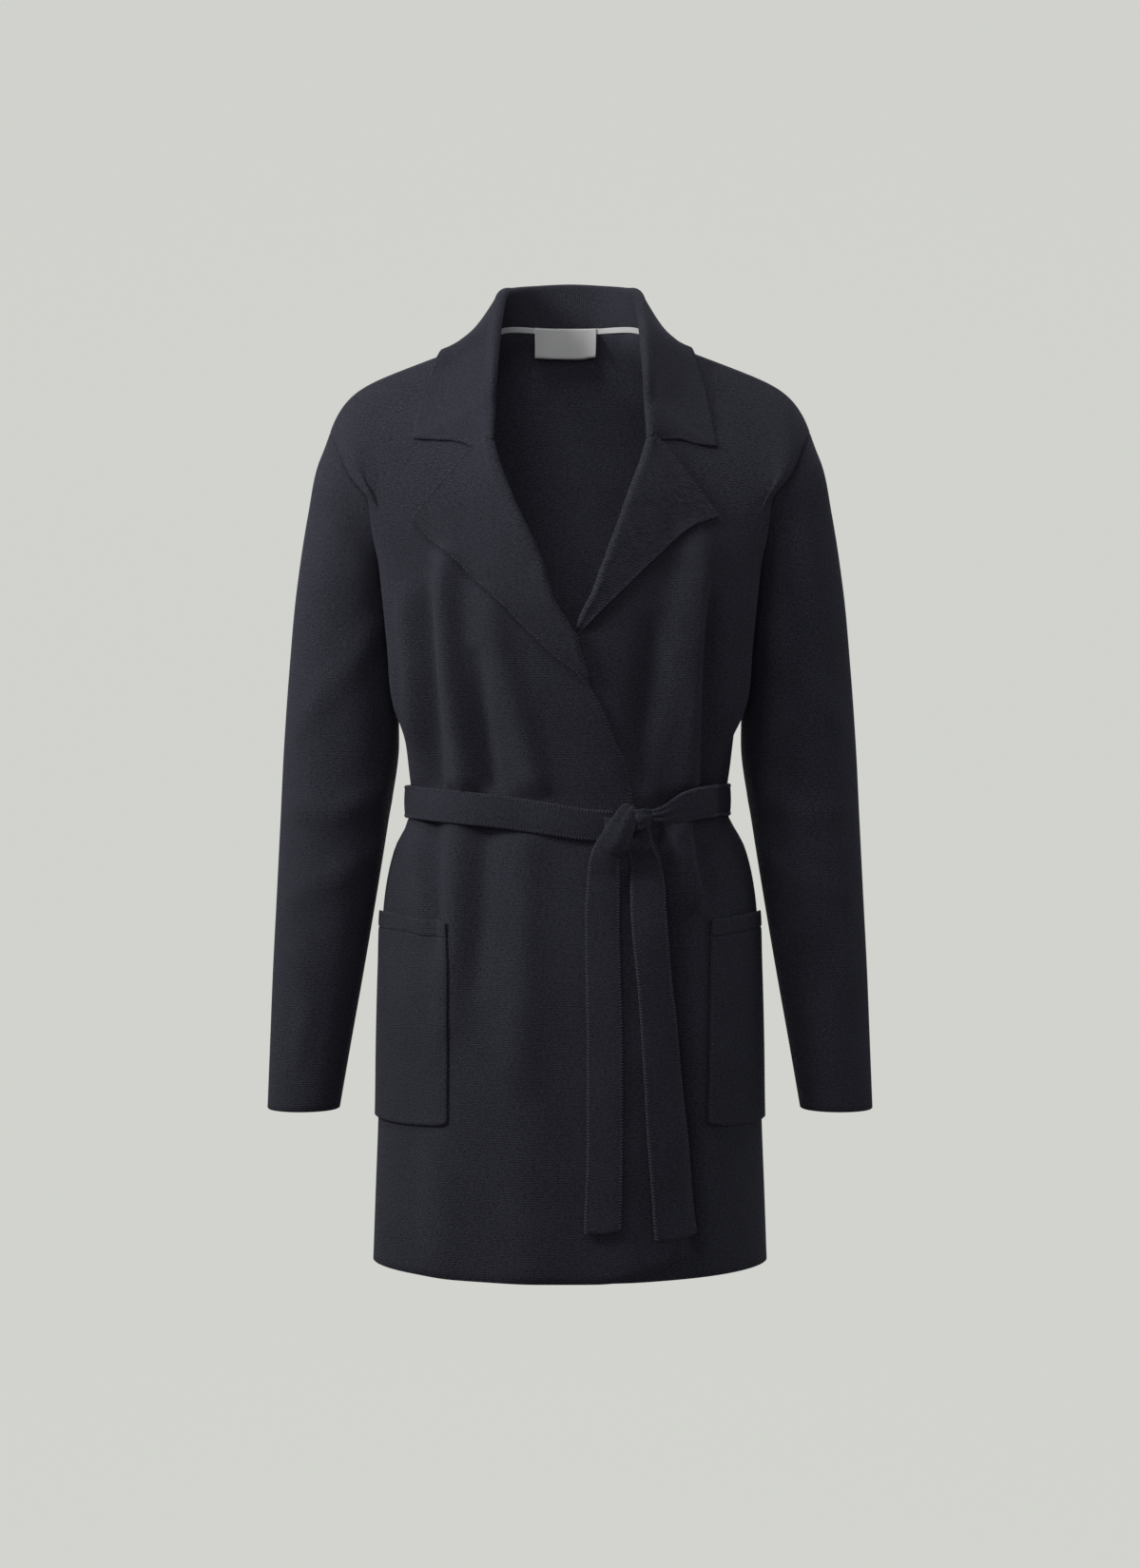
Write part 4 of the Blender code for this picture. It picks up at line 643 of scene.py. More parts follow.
class Cloth:
    """A middle surface of points that becomes one closed wall, with its knitting directions as UVs."""

    def __init__(self, name, thickness=WALL, rim=0.45):
        self.name = name
        self.thickness = thickness
        self.rim = rim
        self.points = []
        self.uvs = []
        self.quads = []
        self.quad_uvs = []
        self.normals = {}
        self.plain_rim = set()

    def add(self, points, across=None, along=None):
        """Adds a grid of points with their places in the flat cloth, and gives back their numbers."""
        shape = points.shape[:-1]
        if across is None:
            across = run_along(points, 1)
        if along is None:
            along = run_along(points, 0)
        start = sum(len(block) for block in self.points)
        self.points.append(points.reshape(-1, 3))
        flat = np.stack((np.broadcast_to(across, shape), np.broadcast_to(along, shape)), axis=-1)
        self.uvs.append(flat.reshape(-1, 2))
        return np.arange(start, start + shape[0] * shape[1]).reshape(shape)

    def join(self, numbers, wrap=0.0, places=None):
        """Adds the faces of a grid of point numbers. A wrap is the length round a tube."""
        uvs = np.concatenate(self.uvs)
        if wrap:
            numbers = np.concatenate((numbers, numbers[:, :1]), axis=1)
        rows = (numbers[:-1, :-1], numbers[:-1, 1:], numbers[1:, 1:], numbers[1:, :-1])
        corners = np.stack(rows, axis=-1)
        flat = uvs[corners]
        if places is not None:
            rows = (places[:-1, :-1], places[:-1, 1:], places[1:, 1:], places[1:, :-1])
            flat = np.stack(rows, axis=2)
        if wrap:
            flat[:, -1, 1:3, 0] += wrap
        self.quads.append(corners.reshape(-1, 4))
        self.quad_uvs.append(flat.reshape(-1, 4, 2))

    def fix(self, numbers, normals, shares=1.0):
        """Sets the direction of the wall at these points, as at a seam that two pieces share."""
        numbers = np.ravel(numbers)
        normals = np.reshape(normals, (-1, 3))
        shares = np.broadcast_to(shares, len(normals))
        for number, normal, share in zip(numbers, normals, shares):
            self.normals[int(number)] = (normal, share)
        self.plain_rim.update(int(number) for number in numbers)

    def flat_edge(self, numbers):
        """Leaves the rim square at these points, where another piece meets it."""
        self.plain_rim.update(int(number) for number in np.ravel(numbers))

    def area(self):
        """The area of the middle surface in square metres."""
        points = np.concatenate(self.points)
        corners = points[np.concatenate(self.quads)]
        cross = np.cross(corners[:, 2] - corners[:, 0], corners[:, 3] - corners[:, 1])
        return float(np.linalg.norm(cross, axis=1).sum() / 2 * MM * MM)

    def directions(self, points, quads):
        """The outward direction of the wall at each point."""
        corners = points[quads]
        cross = np.cross(corners[:, 2] - corners[:, 0], corners[:, 3] - corners[:, 1])
        normals = np.zeros_like(points)
        for index in range(4):
            np.add.at(normals, quads[:, index], cross)
        normals = unit(normals)
        for number, (normal, share) in self.normals.items():
            normal = normal if np.dot(normal, normals[number]) >= 0 else -normal
            normals[number] = unit(normal * share + normals[number] * (1 - share))
        return normals

    def rim_points(self, points, normals, rims):
        """Points a little outside the open edges, with their numbers. They make the rims soft."""
        outward = np.zeros_like(points)
        for start, end in rims:
            away = np.cross(points[end] - points[start], normals[start] + normals[end])
            away = away / max(np.linalg.norm(away), 1e-9)
            outward[start] += away
            outward[end] += away
        outward = unit(outward)
        numbers = {}
        places = []
        for pair in rims:
            for number in pair:
                if number not in numbers:
                    numbers[number] = 2 * len(points) + len(places)
                    reach = PLAIN_RIM if number in self.plain_rim else self.rim
                    places.append(points[number] + outward[number] * reach * self.thickness)
        return numbers, np.array(places).reshape(-1, 3)

    def build(self, material, lining=None):
        """Makes the wall. A lining is the finish of its inner face."""
        points = np.concatenate(self.points)
        quads = np.concatenate(self.quads)
        quad_uvs = np.concatenate(self.quad_uvs)
        normals = self.directions(points, quads)
        count = len(points)
        outer = points + normals * self.thickness / 2
        inner = points - normals * self.thickness / 2
        edges = {}
        for face, quad in enumerate(quads.tolist()):
            for index in range(4):
                pair = (quad[index], quad[(index + 1) % 4])
                if pair[0] != pair[1]:
                    edges[pair] = (face, index)
        rims = [pair for pair in edges if (pair[1], pair[0]) not in edges]
        middle, extra = self.rim_points(points, normals, rims)
        faces = []
        face_uvs = []
        for quad, flat in zip(quads.tolist(), quad_uvs.tolist()):
            keep = [index for index in range(4) if quad[index] != quad[index - 1]]
            if len(keep) < 3:
                continue
            faces.append([quad[index] for index in keep])
            face_uvs += [flat[index] for index in keep]
            keep = keep[::-1]
            faces.append([count + quad[index] for index in keep])
            face_uvs += [flat[index] for index in keep]
        for start, end in rims:
            face, index = edges[(start, end)]
            first = quad_uvs[face, index].tolist()
            second = quad_uvs[face, (index + 1) % 4].tolist()
            faces.append([end, start, middle[start], middle[end]])
            face_uvs += [second, first, first, second]
            faces.append([middle[end], middle[start], count + start, count + end])
            face_uvs += [second, first, first, second]
        places = np.concatenate((outer, inner, extra))
        piece = shell(self.name, places, faces, face_uvs, material)
        if lining is not None:
            piece.data.materials.append(lining)
            for polygon in piece.data.polygons:
                if all(count <= number < 2 * count for number in polygon.vertices):
                    polygon.material_index = 1
        return piece

    def finish(self, grid, material):
        """Makes the wall of a piece that is one plain grid, and gives the piece and its area."""
        self.join(self.add(grid))
        return self.build(material), self.area()


def run_along(points, axis):
    """The length along a grid of points in one direction, in millimetres."""
    steps = np.linalg.norm(np.diff(points, axis=axis), axis=-1)
    start = np.zeros_like(np.take(steps, [0], axis=axis))
    return np.concatenate((start, np.cumsum(steps, axis=axis)), axis=axis)


def shell(name, points, faces, face_uvs, material):
    """A mesh object in metres, smooth shaded, that rides on the garment's one body."""
    mesh = bpy.data.meshes.new(name)
    mesh.from_pydata((np.asarray(points) * MM).tolist(), [], faces)
    if face_uvs is not None:
        layer = mesh.uv_layers.new(name="knit")
        layer.data.foreach_set("uv", (np.asarray(face_uvs) * MM).ravel())
    mesh.polygons.foreach_set("use_smooth", np.ones(len(mesh.polygons), bool))
    mesh.update()
    piece = bpy.data.objects.new(name, mesh)
    bpy.context.scene.collection.objects.link(piece)
    mesh.materials.append(material)
    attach(piece, "root")
    return piece


def refine(values, parts):
    """A list of values with each step cut into equal parts."""
    index = np.arange(len(values))
    fine = np.linspace(0, len(values) - 1, (len(values) - 1) * parts + 1)
    return np.interp(fine, index, values)


def refine_smooth(values, parts, corner=None):
    """The same along a smooth curve, which may keep one sharp corner."""
    if corner is not None:
        before = refine_smooth(values[: corner + 1], parts)
        after = refine_smooth(values[corner:], parts)
        return np.concatenate((before, after[1:]))
    index = np.arange(len(values), dtype=float)
    fine = np.linspace(0, len(values) - 1, (len(values) - 1) * parts + 1)
    return smooth(index, values, fine)


# Seams shared by two pieces


def armhole_point(part, side):
    """A point of the armhole: 0 at the shoulder tip, by the front to 0.5 at the underarm, then the back."""
    part = np.asarray(part, float) % 1
    angle = np.full(np.shape(part), QUARTER_TURN * side)
    front, share = armhole_share(part)
    return np.where(
        front[:, None],
        FRONT.bare(angle, FRONT.underarm + (1 - FRONT.underarm) * share),
        BACK.bare(angle, BACK.underarm + (1 - BACK.underarm) * share),
    )


def armhole_share(part):
    """Which parts of the armhole are in the front, and how far up from the underarm each one is."""
    front = part <= 0.5
    return front, np.where(front, 1 - part * 2, (part - 0.5) * 2)


def armhole_run():
    """The length along the armhole at each part of it."""
    fine = np.linspace(0, 1, 401)
    return fine, run_along(armhole_point(fine, 1), 0)


def sleeve_levels(angles, parts, side):
    """Where the armhole and each ring of a sleeve stand, one column to an angle round it."""
    rings = [armhole_point(parts, side)]
    for index in range(len(SLEEVE_RINGS["x_out"])):
        row = {name: values[index] for name, values in SLEEVE_RINGS.items()}
        across = np.sign(np.cos(angles)) * np.abs(np.cos(angles)) ** row["square"]
        deep = np.sign(np.sin(angles)) * np.abs(np.sin(angles)) ** row["square"]
        x = (row["x_out"] + row["x_in"]) / 2 + (row["x_out"] - row["x_in"]) / 2 * across
        z = (row["z_out"] + row["z_in"]) / 2 + (row["z_out"] - row["z_in"]) / 2 * across
        y = row["y_centre"] - row["half_depth"] * deep
        rings.append(np.stack((x * side, y, z), axis=-1))
    return np.stack(rings)


def sleeve_grid(side, parts, along):
    """The middle surface of a sleeve, rows from the armhole to the cuff."""
    fine, run = armhole_run()
    reach = np.interp(parts, fine, run)
    half = run[len(run) // 2]
    behind = math.pi * (1 + (reach - half) / (run[-1] - half))
    angles = np.where(parts <= 0.5, math.pi * reach / half, behind)
    rings = sleeve_levels(angles, parts, side)
    run = running(np.linalg.norm(np.diff(rings, axis=0), axis=2).mean(axis=1))
    at = SLEEVE_GAP + (run[-1] - SLEEVE_GAP) * np.linspace(0, 1, along + 1) ** 1.12
    at = np.sort(np.concatenate((at, (SLEEVE_GAP + 2.5, SLEEVE_GAP + 8))))
    points = loft(run, rings, at)
    degrees = np.degrees(angles)
    centre = points.mean(axis=1, keepdims=True)
    out = points - centre
    out[..., 2] = 0
    out = unit(out)
    total = np.zeros(points.shape[:2])
    round_places = np.broadcast_to(degrees * MM_TO_A_DEGREE, total.shape)
    for _, path, width, height, fade in SLEEVE_FOLDS:
        scaled = tuple((angle * MM_TO_A_DEGREE, level) for angle, level in path)
        across, reach, length = along_path(scaled, round_places, points[..., 2])
        rise = np.exp(-((across / width) ** 2)) * ease(reach, -fade / 2, fade / 2)
        total += height * rise * ease(length - reach, -fade / 2, fade / 2)
    total *= ease(at, 20, 80)[:, None]
    points = points + out * total[..., None]
    points = clear_of_body(points, side, at)
    begin = SLEEVE_GAP + UNDERARM_GAP * (1 - shared_part(parts))
    points[0] = rings[0] + (points[1] - rings[0]) * (begin / at[1])[:, None]
    return points


def shared_part(parts):
    """How far the two walls share one direction along the armhole: nothing at the underarm, all above."""
    return ease(np.abs(parts - 0.5), 0.03, 0.10)


def clear_of_body(points, side, at):
    """Moves sleeve points out sideways where they would touch the body."""
    moved = points.copy()
    ahead = moved[..., 1] < SLEEVE_MIDDLE_Y
    for half, facing in ((FRONT, ahead), (BACK, ~ahead)):
        near = facing & (np.abs(moved[..., 0]) < NEAR_BODY_X) & (at[:, None] > 1.0)
        if not near.any():
            continue
        x, y, z = moved[near].T
        angle, rise = half.find(y, z, axis=1, side=side)
        here = half.point(angle, rise)
        fits = (np.abs(here[:, 1] - y) < 1.0) & (np.abs(here[:, 2] - z) < 1.0)
        run = np.broadcast_to(at[:, None], near.shape)[near]
        wanted = np.abs(here[:, 0]) + BODY_CLEARANCE * ease(run, 0, 3)
        bigger = fits & (wanted > np.abs(x))
        moved[near, 0] = np.where(bigger, wanted * side, x)
    return moved


def loft(knots, levels, at):
    """Rows of points between levels of points, smooth along the way."""
    slopes = even_slopes(knots, levels)
    index = step_of(knots, at)
    span = (knots[index + 1] - knots[index])[:, None, None]
    part = (at - knots[index])[:, None, None] / span
    before = slopes[index] * span
    after = slopes[index + 1] * span
    return hermite(levels[index], levels[index + 1], before, after, part)


def shoulder_normals(angle):
    """Directions shared by the front and the back where they meet on a shoulder."""
    rise = np.full(len(angle), SHOULDER_RISE)
    return unit(FRONT.normal(angle, rise) + BACK.normal(angle, rise))


def edge_x(rows, z):
    """Where a front edge stands at these heights."""
    order = np.argsort(rows["z"])
    return smooth(rows["z"][order], rows["x"][order], z)


def lapel_steps(lapel, own):
    """The lapel's table with each roll point found on the cloth, and with a step at the underarm."""
    angle, rise = FRONT.find(lapel["roll_x"] * own, lapel["roll_z"])
    at = int(np.searchsorted(rise, FRONT.underarm))
    wanted = np.array((FRONT.underarm, (FRONT.underarm + rise[at]) / 2))
    rows = {}
    for name, values in lapel.items():
        rows[name] = np.insert(values, at, np.interp(wanted, rise, values))
    angle, rise = FRONT.find(rows["roll_x"] * own, rows["roll_z"])
    rise[at] = FRONT.underarm
    return rows, angle, rise


def level_rise(z, which):
    """The rise of a level below the underarm, where the levels lie flat."""
    fine = np.linspace(0, which.underarm, 600)
    heights = which.bare(np.full(600, 0.3), fine)[:, 2]
    return np.interp(z, heights, fine)


def armhole_normals(parts, side):
    """Directions shared by the body and a sleeve along the armhole."""
    front, share = armhole_share(parts)
    angle = np.full(len(parts), (QUARTER_TURN - 0.01) * side)
    body = np.where(
        front[:, None],
        FRONT.normal(angle, FRONT.underarm + (1 - FRONT.underarm) * share),
        BACK.normal(angle, BACK.underarm + (1 - BACK.underarm) * share),
    )
    rows = sleeve_grid(side, parts, 60)[:2]
    along = rows[1] - rows[0]
    ring = np.roll(rows[0], -1, axis=0) - np.roll(rows[0], 1, axis=0)
    sleeve = unit(np.cross(ring, along))
    centre = rows[0].mean(axis=0)
    inward = ((sleeve * (rows[0] - centre)).sum(axis=1)).sum() < 0
    return unit(body + (-sleeve if inward else sleeve))


def body_normals_at_armhole(side, rises, half):
    """The same shared directions at the rises of a front's or a back's own rows."""
    share = np.clip((rises - half.underarm) / (1 - half.underarm), 0, 1)
    parts = (1 - share) / 2 if half is FRONT else 0.5 + share / 2
    fine = np.linspace(0, 1, 113)[:-1]
    normals = armhole_normals(fine, side)
    values = np.concatenate((normals, normals[:1]))
    return unit(at_run(parts, np.append(fine, 1.0), values)), shared_part(parts)


# Pieces


def back_piece(material, lining):
    """The back, from the hem to the shoulder seams and the back neck."""
    above = np.linspace(BACK.underarm, 1, 61)[1:]
    rises = np.concatenate((np.linspace(0, BACK.underarm, 105), above))
    side_part = np.linspace(SIDE_ANGLE, NECK_ANGLE, 45)
    neck_part = np.linspace(NECK_ANGLE, -NECK_ANGLE, 49)
    angles = np.concatenate((side_part, neck_part[1:-1], -side_part[::-1]))
    grid_angle, grid_rise = np.meshgrid(angles, rises)
    grid_rise[-1] = TOP_RISE
    cloth = Cloth("back_panel")
    points = BACK.point(grid_angle, grid_rise)
    across = run_along(points, 1)
    numbers = cloth.add(points, across - across[:, len(angles) // 2][:, None])
    cloth.join(numbers)
    low = rises <= BACK.underarm + 1e-6
    shoulder = np.abs(angles) > NECK_ANGLE - 1e-6
    for column, side in ((0, 1), (-1, -1)):
        cloth.fix(numbers[low, column], np.tile((side, 0, 0), (low.sum(), 1)))
    cloth.fix(numbers[-1, shoulder], shoulder_normals(angles[shoulder]))
    for column, side in ((0, 1), (-1, -1)):
        cloth.fix(numbers[~low, column], *body_normals_at_armhole(side, rises[~low], BACK))
    return cloth.build(material, lining), cloth.area()


def front_rows(side, edge_rows, lapel, parts):
    """Rises and inner angles of a front's rows: below the lapel, along its roll and up the neck."""
    own = -side
    rows, roll_angle, roll_rise = lapel_steps(lapel, own)
    _, break_rise = FRONT.find(edge_rows["x"][-1:] * own, edge_rows["z"][-1:])
    low = np.linspace(0, break_rise[0], 66)
    roll_rise = refine(roll_rise, parts)
    roll_angle = refine_smooth(roll_angle, parts)
    neck = np.linspace(roll_rise[-1], 1, 25)[1:]
    neck[-1] = TOP_RISE
    edge_angles = low * 0
    for _ in range(60):
        here = FRONT.point(edge_angles, low)
        edge_angles = edge_angles + (edge_x(edge_rows, here[:, 2]) * own - here[:, 0]) * 0.005
    neck_angles = np.full(len(neck), NECK_ANGLE * side)
    for _ in range(60):
        here = FRONT.point(neck_angles, neck)
        wanted = np.interp(here[:, 2], NECK_SEAM["z"], NECK_SEAM["x"]) * side
        neck_angles = neck_angles + (wanted - here[:, 0]) * 0.004
    fine = {name: refine_smooth(values, parts) for name, values in rows.items()}
    tip = int(np.argmin(rows["edge_x"]))
    for name in ("edge_x", "edge_z"):
        fine[name] = refine_smooth(rows[name], parts, corner=tip)
    return low, roll_rise, neck, edge_angles, roll_angle, neck_angles, fine


def front_piece(side, edge_rows, lapel, material, columns=136, flap_columns=30, parts=6):
    """A front with its lapel folded out: side is 1 for the wearer's left and -1 for the wearer's right."""
    own = -side
    cloth = Cloth("front_left_panel" if side > 0 else "front_right_panel")
    rows = front_rows(side, edge_rows, lapel, parts)
    low, roll_rise, neck, edge_angles, roll_angle, neck_angles, lapel = rows
    rises = np.concatenate((low, roll_rise, neck))
    inner = np.concatenate((edge_angles, roll_angle, neck_angles))
    outer = SIDE_ANGLE * side
    part = np.linspace(0, 1, columns + 1)
    part = part * 0.75 + 0.25 * part**1.6
    angle_grid = outer + (inner[:, None] - outer) * part
    rise_grid = np.repeat(rises[:, None], columns + 1, axis=1)
    base = FRONT.point(angle_grid, rise_grid)
    panel = FRONT.point(angle_grid, rise_grid, lap_lift(side, base[..., 0], base[..., 2]))
    if side < 0:
        corner = ease(-panel[..., 2], 735, 817) * np.clip((panel[..., 0] - 20) / 74, 0, 1) ** 2.2
        panel[..., 2] += 20 * corner
        panel[..., 1] -= 2.5 * corner
        edge_side = ease(panel[..., 0] - panel[:, -1:, 0], -34, -2) * ease(-panel[..., 2], 450, 520)
        panel[..., 1] -= EDGE_LIFT * edge_side
    across = run_along(panel, 1)
    numbers = cloth.add(panel, across, run_along(panel, 0)[:, :1])
    cloth.join(numbers)

    first = len(low)
    count = len(roll_rise)
    roll = panel[first : first + count, -1]
    normal = FRONT.normal(roll_angle, roll_rise)
    travel = unit(np.gradient(np.concatenate((panel[first - 1 : first, -1], roll)), axis=0))[1:]
    toward = unit(np.cross(normal, travel)) * -side
    toward = np.where((toward[:, :1] * side) > 0, -toward, toward)
    radius = lapel["radius"][:, None]
    flap = []
    for fraction in np.linspace(0, 1, 9)[1:]:
        bend = np.radians(lapel["turn"][:, None]) * fraction
        flap.append(roll + toward * radius * np.sin(bend) + normal * radius * (1 - np.cos(bend)))
    start = flap[-1]
    turned = ease(lapel["turn"], 10, 165)
    lying = FLAP_CLEARANCE * turned
    for fraction in np.linspace(0, 1, flap_columns + 1)[1:]:
        x = start[:, 0] + (lapel["edge_x"] * own - start[:, 0]) * fraction
        z = start[:, 2] + (lapel["edge_z"] - start[:, 2]) * fraction
        clearance = lying + (2 * lapel["radius"] - lying) * (1 - fraction) ** 2
        clearance = clearance + (0.5 * math.sin(math.pi * fraction) + 1.6 * fraction**2) * turned
        flap.append(FRONT.over(x, z, clearance + lap_lift(side, x, z)))
    flap = np.stack(flap, axis=1)
    flap_numbers = cloth.add(flap)
    attached = np.concatenate((numbers[first : first + count, -1:], flap_numbers), axis=1)
    apex = np.full((1, attached.shape[1]), numbers[first - 1, -1])
    below = np.tile(panel[first - 1, -1], (1, flap.shape[1] + 1, 1))
    whole = np.concatenate((below, np.concatenate((roll[:, None], flap), axis=1)))
    across = run_along(whole, 1)
    along = np.broadcast_to(run_along(whole, 0)[:, :1], across.shape) + LAPEL_UV
    lean = ROLL_LEAN[side]
    places = np.stack((along * lean[0] + across * lean[1], along), axis=-1)
    cloth.join(np.concatenate((apex, attached)), places=places)

    low_side = rises <= FRONT.underarm + 1e-6
    cloth.fix(numbers[low_side, 0], np.tile((side, 0, 0), (low_side.sum(), 1)))
    cloth.fix(numbers[-1], shoulder_normals(angle_grid[-1]))
    cloth.fix(numbers[~low_side, 0], *body_normals_at_armhole(side, rises[~low_side], FRONT))
    edge = np.concatenate((panel[:first, :-4:-2], flap[:, :-4:-2]))
    return cloth.build(material), cloth.area(), edge


def sleeve_piece(side, material, around=112, along=120):
    """A sleeve from the armhole seam to the cuff."""
    cloth = Cloth("sleeve_left_tube" if side > 0 else "sleeve_right_tube")
    parts = np.linspace(0, 1, around + 1)[:-1]
    grid = sleeve_grid(side, parts, along)
    round_run = run_along(np.concatenate((grid, grid[:, :1]), axis=1), 1)
    length = float(round_run[:, -1].mean())
    across = np.linspace(0, length, around + 1)[None, :-1]
    numbers = cloth.add(grid, across, run_along(grid, 0).mean(axis=1, keepdims=True))
    cloth.join(numbers, wrap=length)
    cloth.fix(numbers[0], armhole_normals(parts, side), shared_part(parts))
    return cloth.build(material), cloth.area()


def collar_half(rows, side, leaf_columns):
    """The cross-sections of one half of the collar, from the gorge to the centre back."""
    point = {}
    for name in ("seam", "roll", "edge", "leaf"):
        places = (rows[name + "_x"] * side, rows[name + "_y"], rows[name + "_z"])
        point[name] = np.stack(places, axis=-1)
        lies = point[name][:, 1] == ON_FRONT
        if name != "leaf":
            x, _, z = point[name][lies].T
            point[name][lies] = FRONT.over(x, z, np.zeros(lies.sum()))
    radius = rows["radius"][:, None]
    roll = point["roll"]
    travel = unit(np.gradient(roll, axis=0))
    travel[-1] = (-side, 0, 0)
    angle, rise = FRONT.find(roll[:, 0], np.minimum(roll[:, 2], -20))
    normal = FRONT.normal(angle, rise)
    flat = unit(np.cross(normal, travel))
    flat = np.where(flat[:, :1] * side > 0, -flat, flat)
    upright = rows["upright"][:, None]
    up = unit(flat * (1 - upright) + np.array((0, 0, 1.0)) * upright)
    out = unit(np.cross(travel, up))
    radial = np.stack((roll[:, 0], roll[:, 1] - 10, roll[:, 2] * 0), axis=-1)
    out = np.where((out * radial).sum(axis=1, keepdims=True) < 0, -out, out)
    seam = point["seam"]
    away = unit(roll - seam)
    length = np.linalg.norm(roll - seam, axis=1, keepdims=True)
    rest = out * rows["rest"][:, None]
    start = seam + away * np.minimum(1.5, length * 0.4) + rest
    roll = roll + rest
    sections = [start]
    for share in (0.125, 0.25, 0.375, 0.5, 0.625, 0.75, 0.875):
        bow = 0.6 * 4 * share * (1 - share)
        sections.append(start + (roll - start) * share - out * bow * upright)
    sections.append(roll)
    for turn in range(18, 181, 18):
        bend = math.radians(turn)
        sections.append(roll + out * radius * (1 - math.cos(bend)) + up * radius * math.sin(bend))
    turned = sections[-1]
    for fraction in np.linspace(0, 1, leaf_columns + 1)[1:]:
        straight = turned + (point["edge"] - turned) * fraction
        curved = (
            turned * (1 - fraction) * (1 - 2 * fraction)
            + point["leaf"] * 4 * fraction * (1 - fraction)
            + point["edge"] * fraction * (2 * fraction - 1)
        )
        height = 2 * rows["radius"] + rows["rest"]
        clearance = LEAF_CLEARANCE + (height - LEAF_CLEARANCE) * (1 - fraction) ** 2
        draped = FRONT.over(straight[:, 0], np.minimum(straight[:, 2], -16), clearance)
        sections.append(np.where(lies[:, None], draped, curved))
    return np.stack(sections, axis=1)


def collar_piece(material, steps=8, leaf_columns=22):
    """The collar in one piece round the neck, stand and leaf."""
    cloth = Cloth("collar_leaf")
    right = collar_half(RIGHT_COLLAR, -1, leaf_columns)
    left = collar_half(LEFT_COLLAR, 1, leaf_columns)
    sections = np.concatenate((right, left[::-1][1:]))
    knots = np.arange(len(sections), dtype=float)
    at = np.linspace(0, knots[-1], (len(sections) - 1) * steps + 1)
    grid = loft(knots, sections, at)
    numbers = cloth.add(grid, along=run_along(grid, 0)[:, 8:9])
    cloth.join(numbers)
    cloth.flat_edge(numbers[:, 0])
    return cloth.build(material), cloth.area()


def pocket_piece(side, inner_top, inner_low, top_z, low_z, material, across=44, down=64):
    """A patch pocket with a hemmed top, lying on its front."""
    cloth = Cloth("pocket_left_patch" if side > 0 else "pocket_right_patch")
    tall = top_z[0] - low_z[0]
    near_hem = (POCKET_HEM + np.array((-2.4, -1.6, -0.8, 0, 0.8, 1.6, 2.4))) / tall
    fraction = np.sort(np.concatenate((np.linspace(0, 1, down + 1), near_hem)))[:, None]
    part = np.linspace(0, 1, across + 1)[None, :]
    inner_x = inner_top + (inner_low - inner_top) * fraction
    top = top_z[0] + (top_z[1] - top_z[0]) * part
    low = low_z[0] + (low_z[1] - low_z[0]) * part
    sag = 1.6 * np.sin(math.pi * part) * (1 - fraction) - 1.8 * np.sin(math.pi * part**0.7) * fraction
    round_off = 1.6 * np.maximum(0, 1 - part / 0.05) ** 2 * ease(fraction, 0.93, 1.0)
    z = top + (low - top) * fraction + round_off + sag
    inner_angle, _ = FRONT.find(inner_x[:, 0] * side, z[:, 0])
    angle = inner_angle[:, None] + (1.5 * side - inner_angle[:, None]) * part
    rise = level_rise(z, FRONT)
    base = FRONT.point(angle, rise)
    lift = lap_lift(side, base[..., 0], base[..., 2])
    depth = tall * fraction
    hem = 0.85 * np.exp(-(((depth - POCKET_HEM) / 0.9) ** 2)) - 0.3 * ease(POCKET_HEM - depth, -0.5, 2)
    belly = 0.9 * np.sin(math.pi * fraction) * np.sin(math.pi * part)
    sewn = 0.5 * np.exp(-((part * 60 / 2.2) ** 2)) * ease(fraction, 0.02, 0.06)
    clearance = WALL + 1.3 + lift + belly - hem - sewn
    points = base + FRONT.normal(angle, rise) * clearance[..., None]
    numbers = cloth.add(points, along=-points[..., 2])
    cloth.join(numbers)
    return cloth.build(material), cloth.area(), points


def belt_columns(count):
    """Angles of the belt's columns on the front, the back and the front again."""
    start, _ = FRONT.find(np.array([35.0, 59.5]), np.array([-431.0, -424.5]))
    quarter = count // 4
    front_first = np.linspace(start[0], -QUARTER_TURN, quarter + 3)
    back = np.linspace(-QUARTER_TURN, QUARTER_TURN, count // 2)[1:-1]
    front_last = np.linspace(QUARTER_TURN, start[1], quarter)
    return front_first, back, front_last


def belt_clearance(which, angles, rises):
    """How far the cloth under the belt reaches out beyond its middle line, near each angle."""
    middle_rise = rises[len(rises) // 2]
    middle = which.point(angles, middle_rise)
    normal = which.normal(angles, middle_rise)
    normal[:, 2] = 0
    normal = unit(normal)
    most = np.zeros(len(angles))
    for turn in np.linspace(-0.09, 0.09, 7):
        near = np.clip(angles + turn, -QUARTER_TURN, QUARTER_TURN)
        level = which.bare(near, middle_rise) - which.bare(angles, middle_rise)
        for rise in rises:
            reach = ((which.point(near, rise) - middle - level) * normal)[:, :2].sum(axis=1)
            most = np.maximum(most, reach)
    padded = np.pad(most, 4, mode="edge")
    most = np.max([padded[start : start + len(most)] for start in range(1, 8)], axis=0)
    padded = np.pad(most, 4, mode="edge")
    most = np.mean([padded[start : start + len(most)] for start in range(9)], axis=0)
    return middle, normal, most * (1 - 0.65 * ease(abs(angles), 1.28, 1.52))


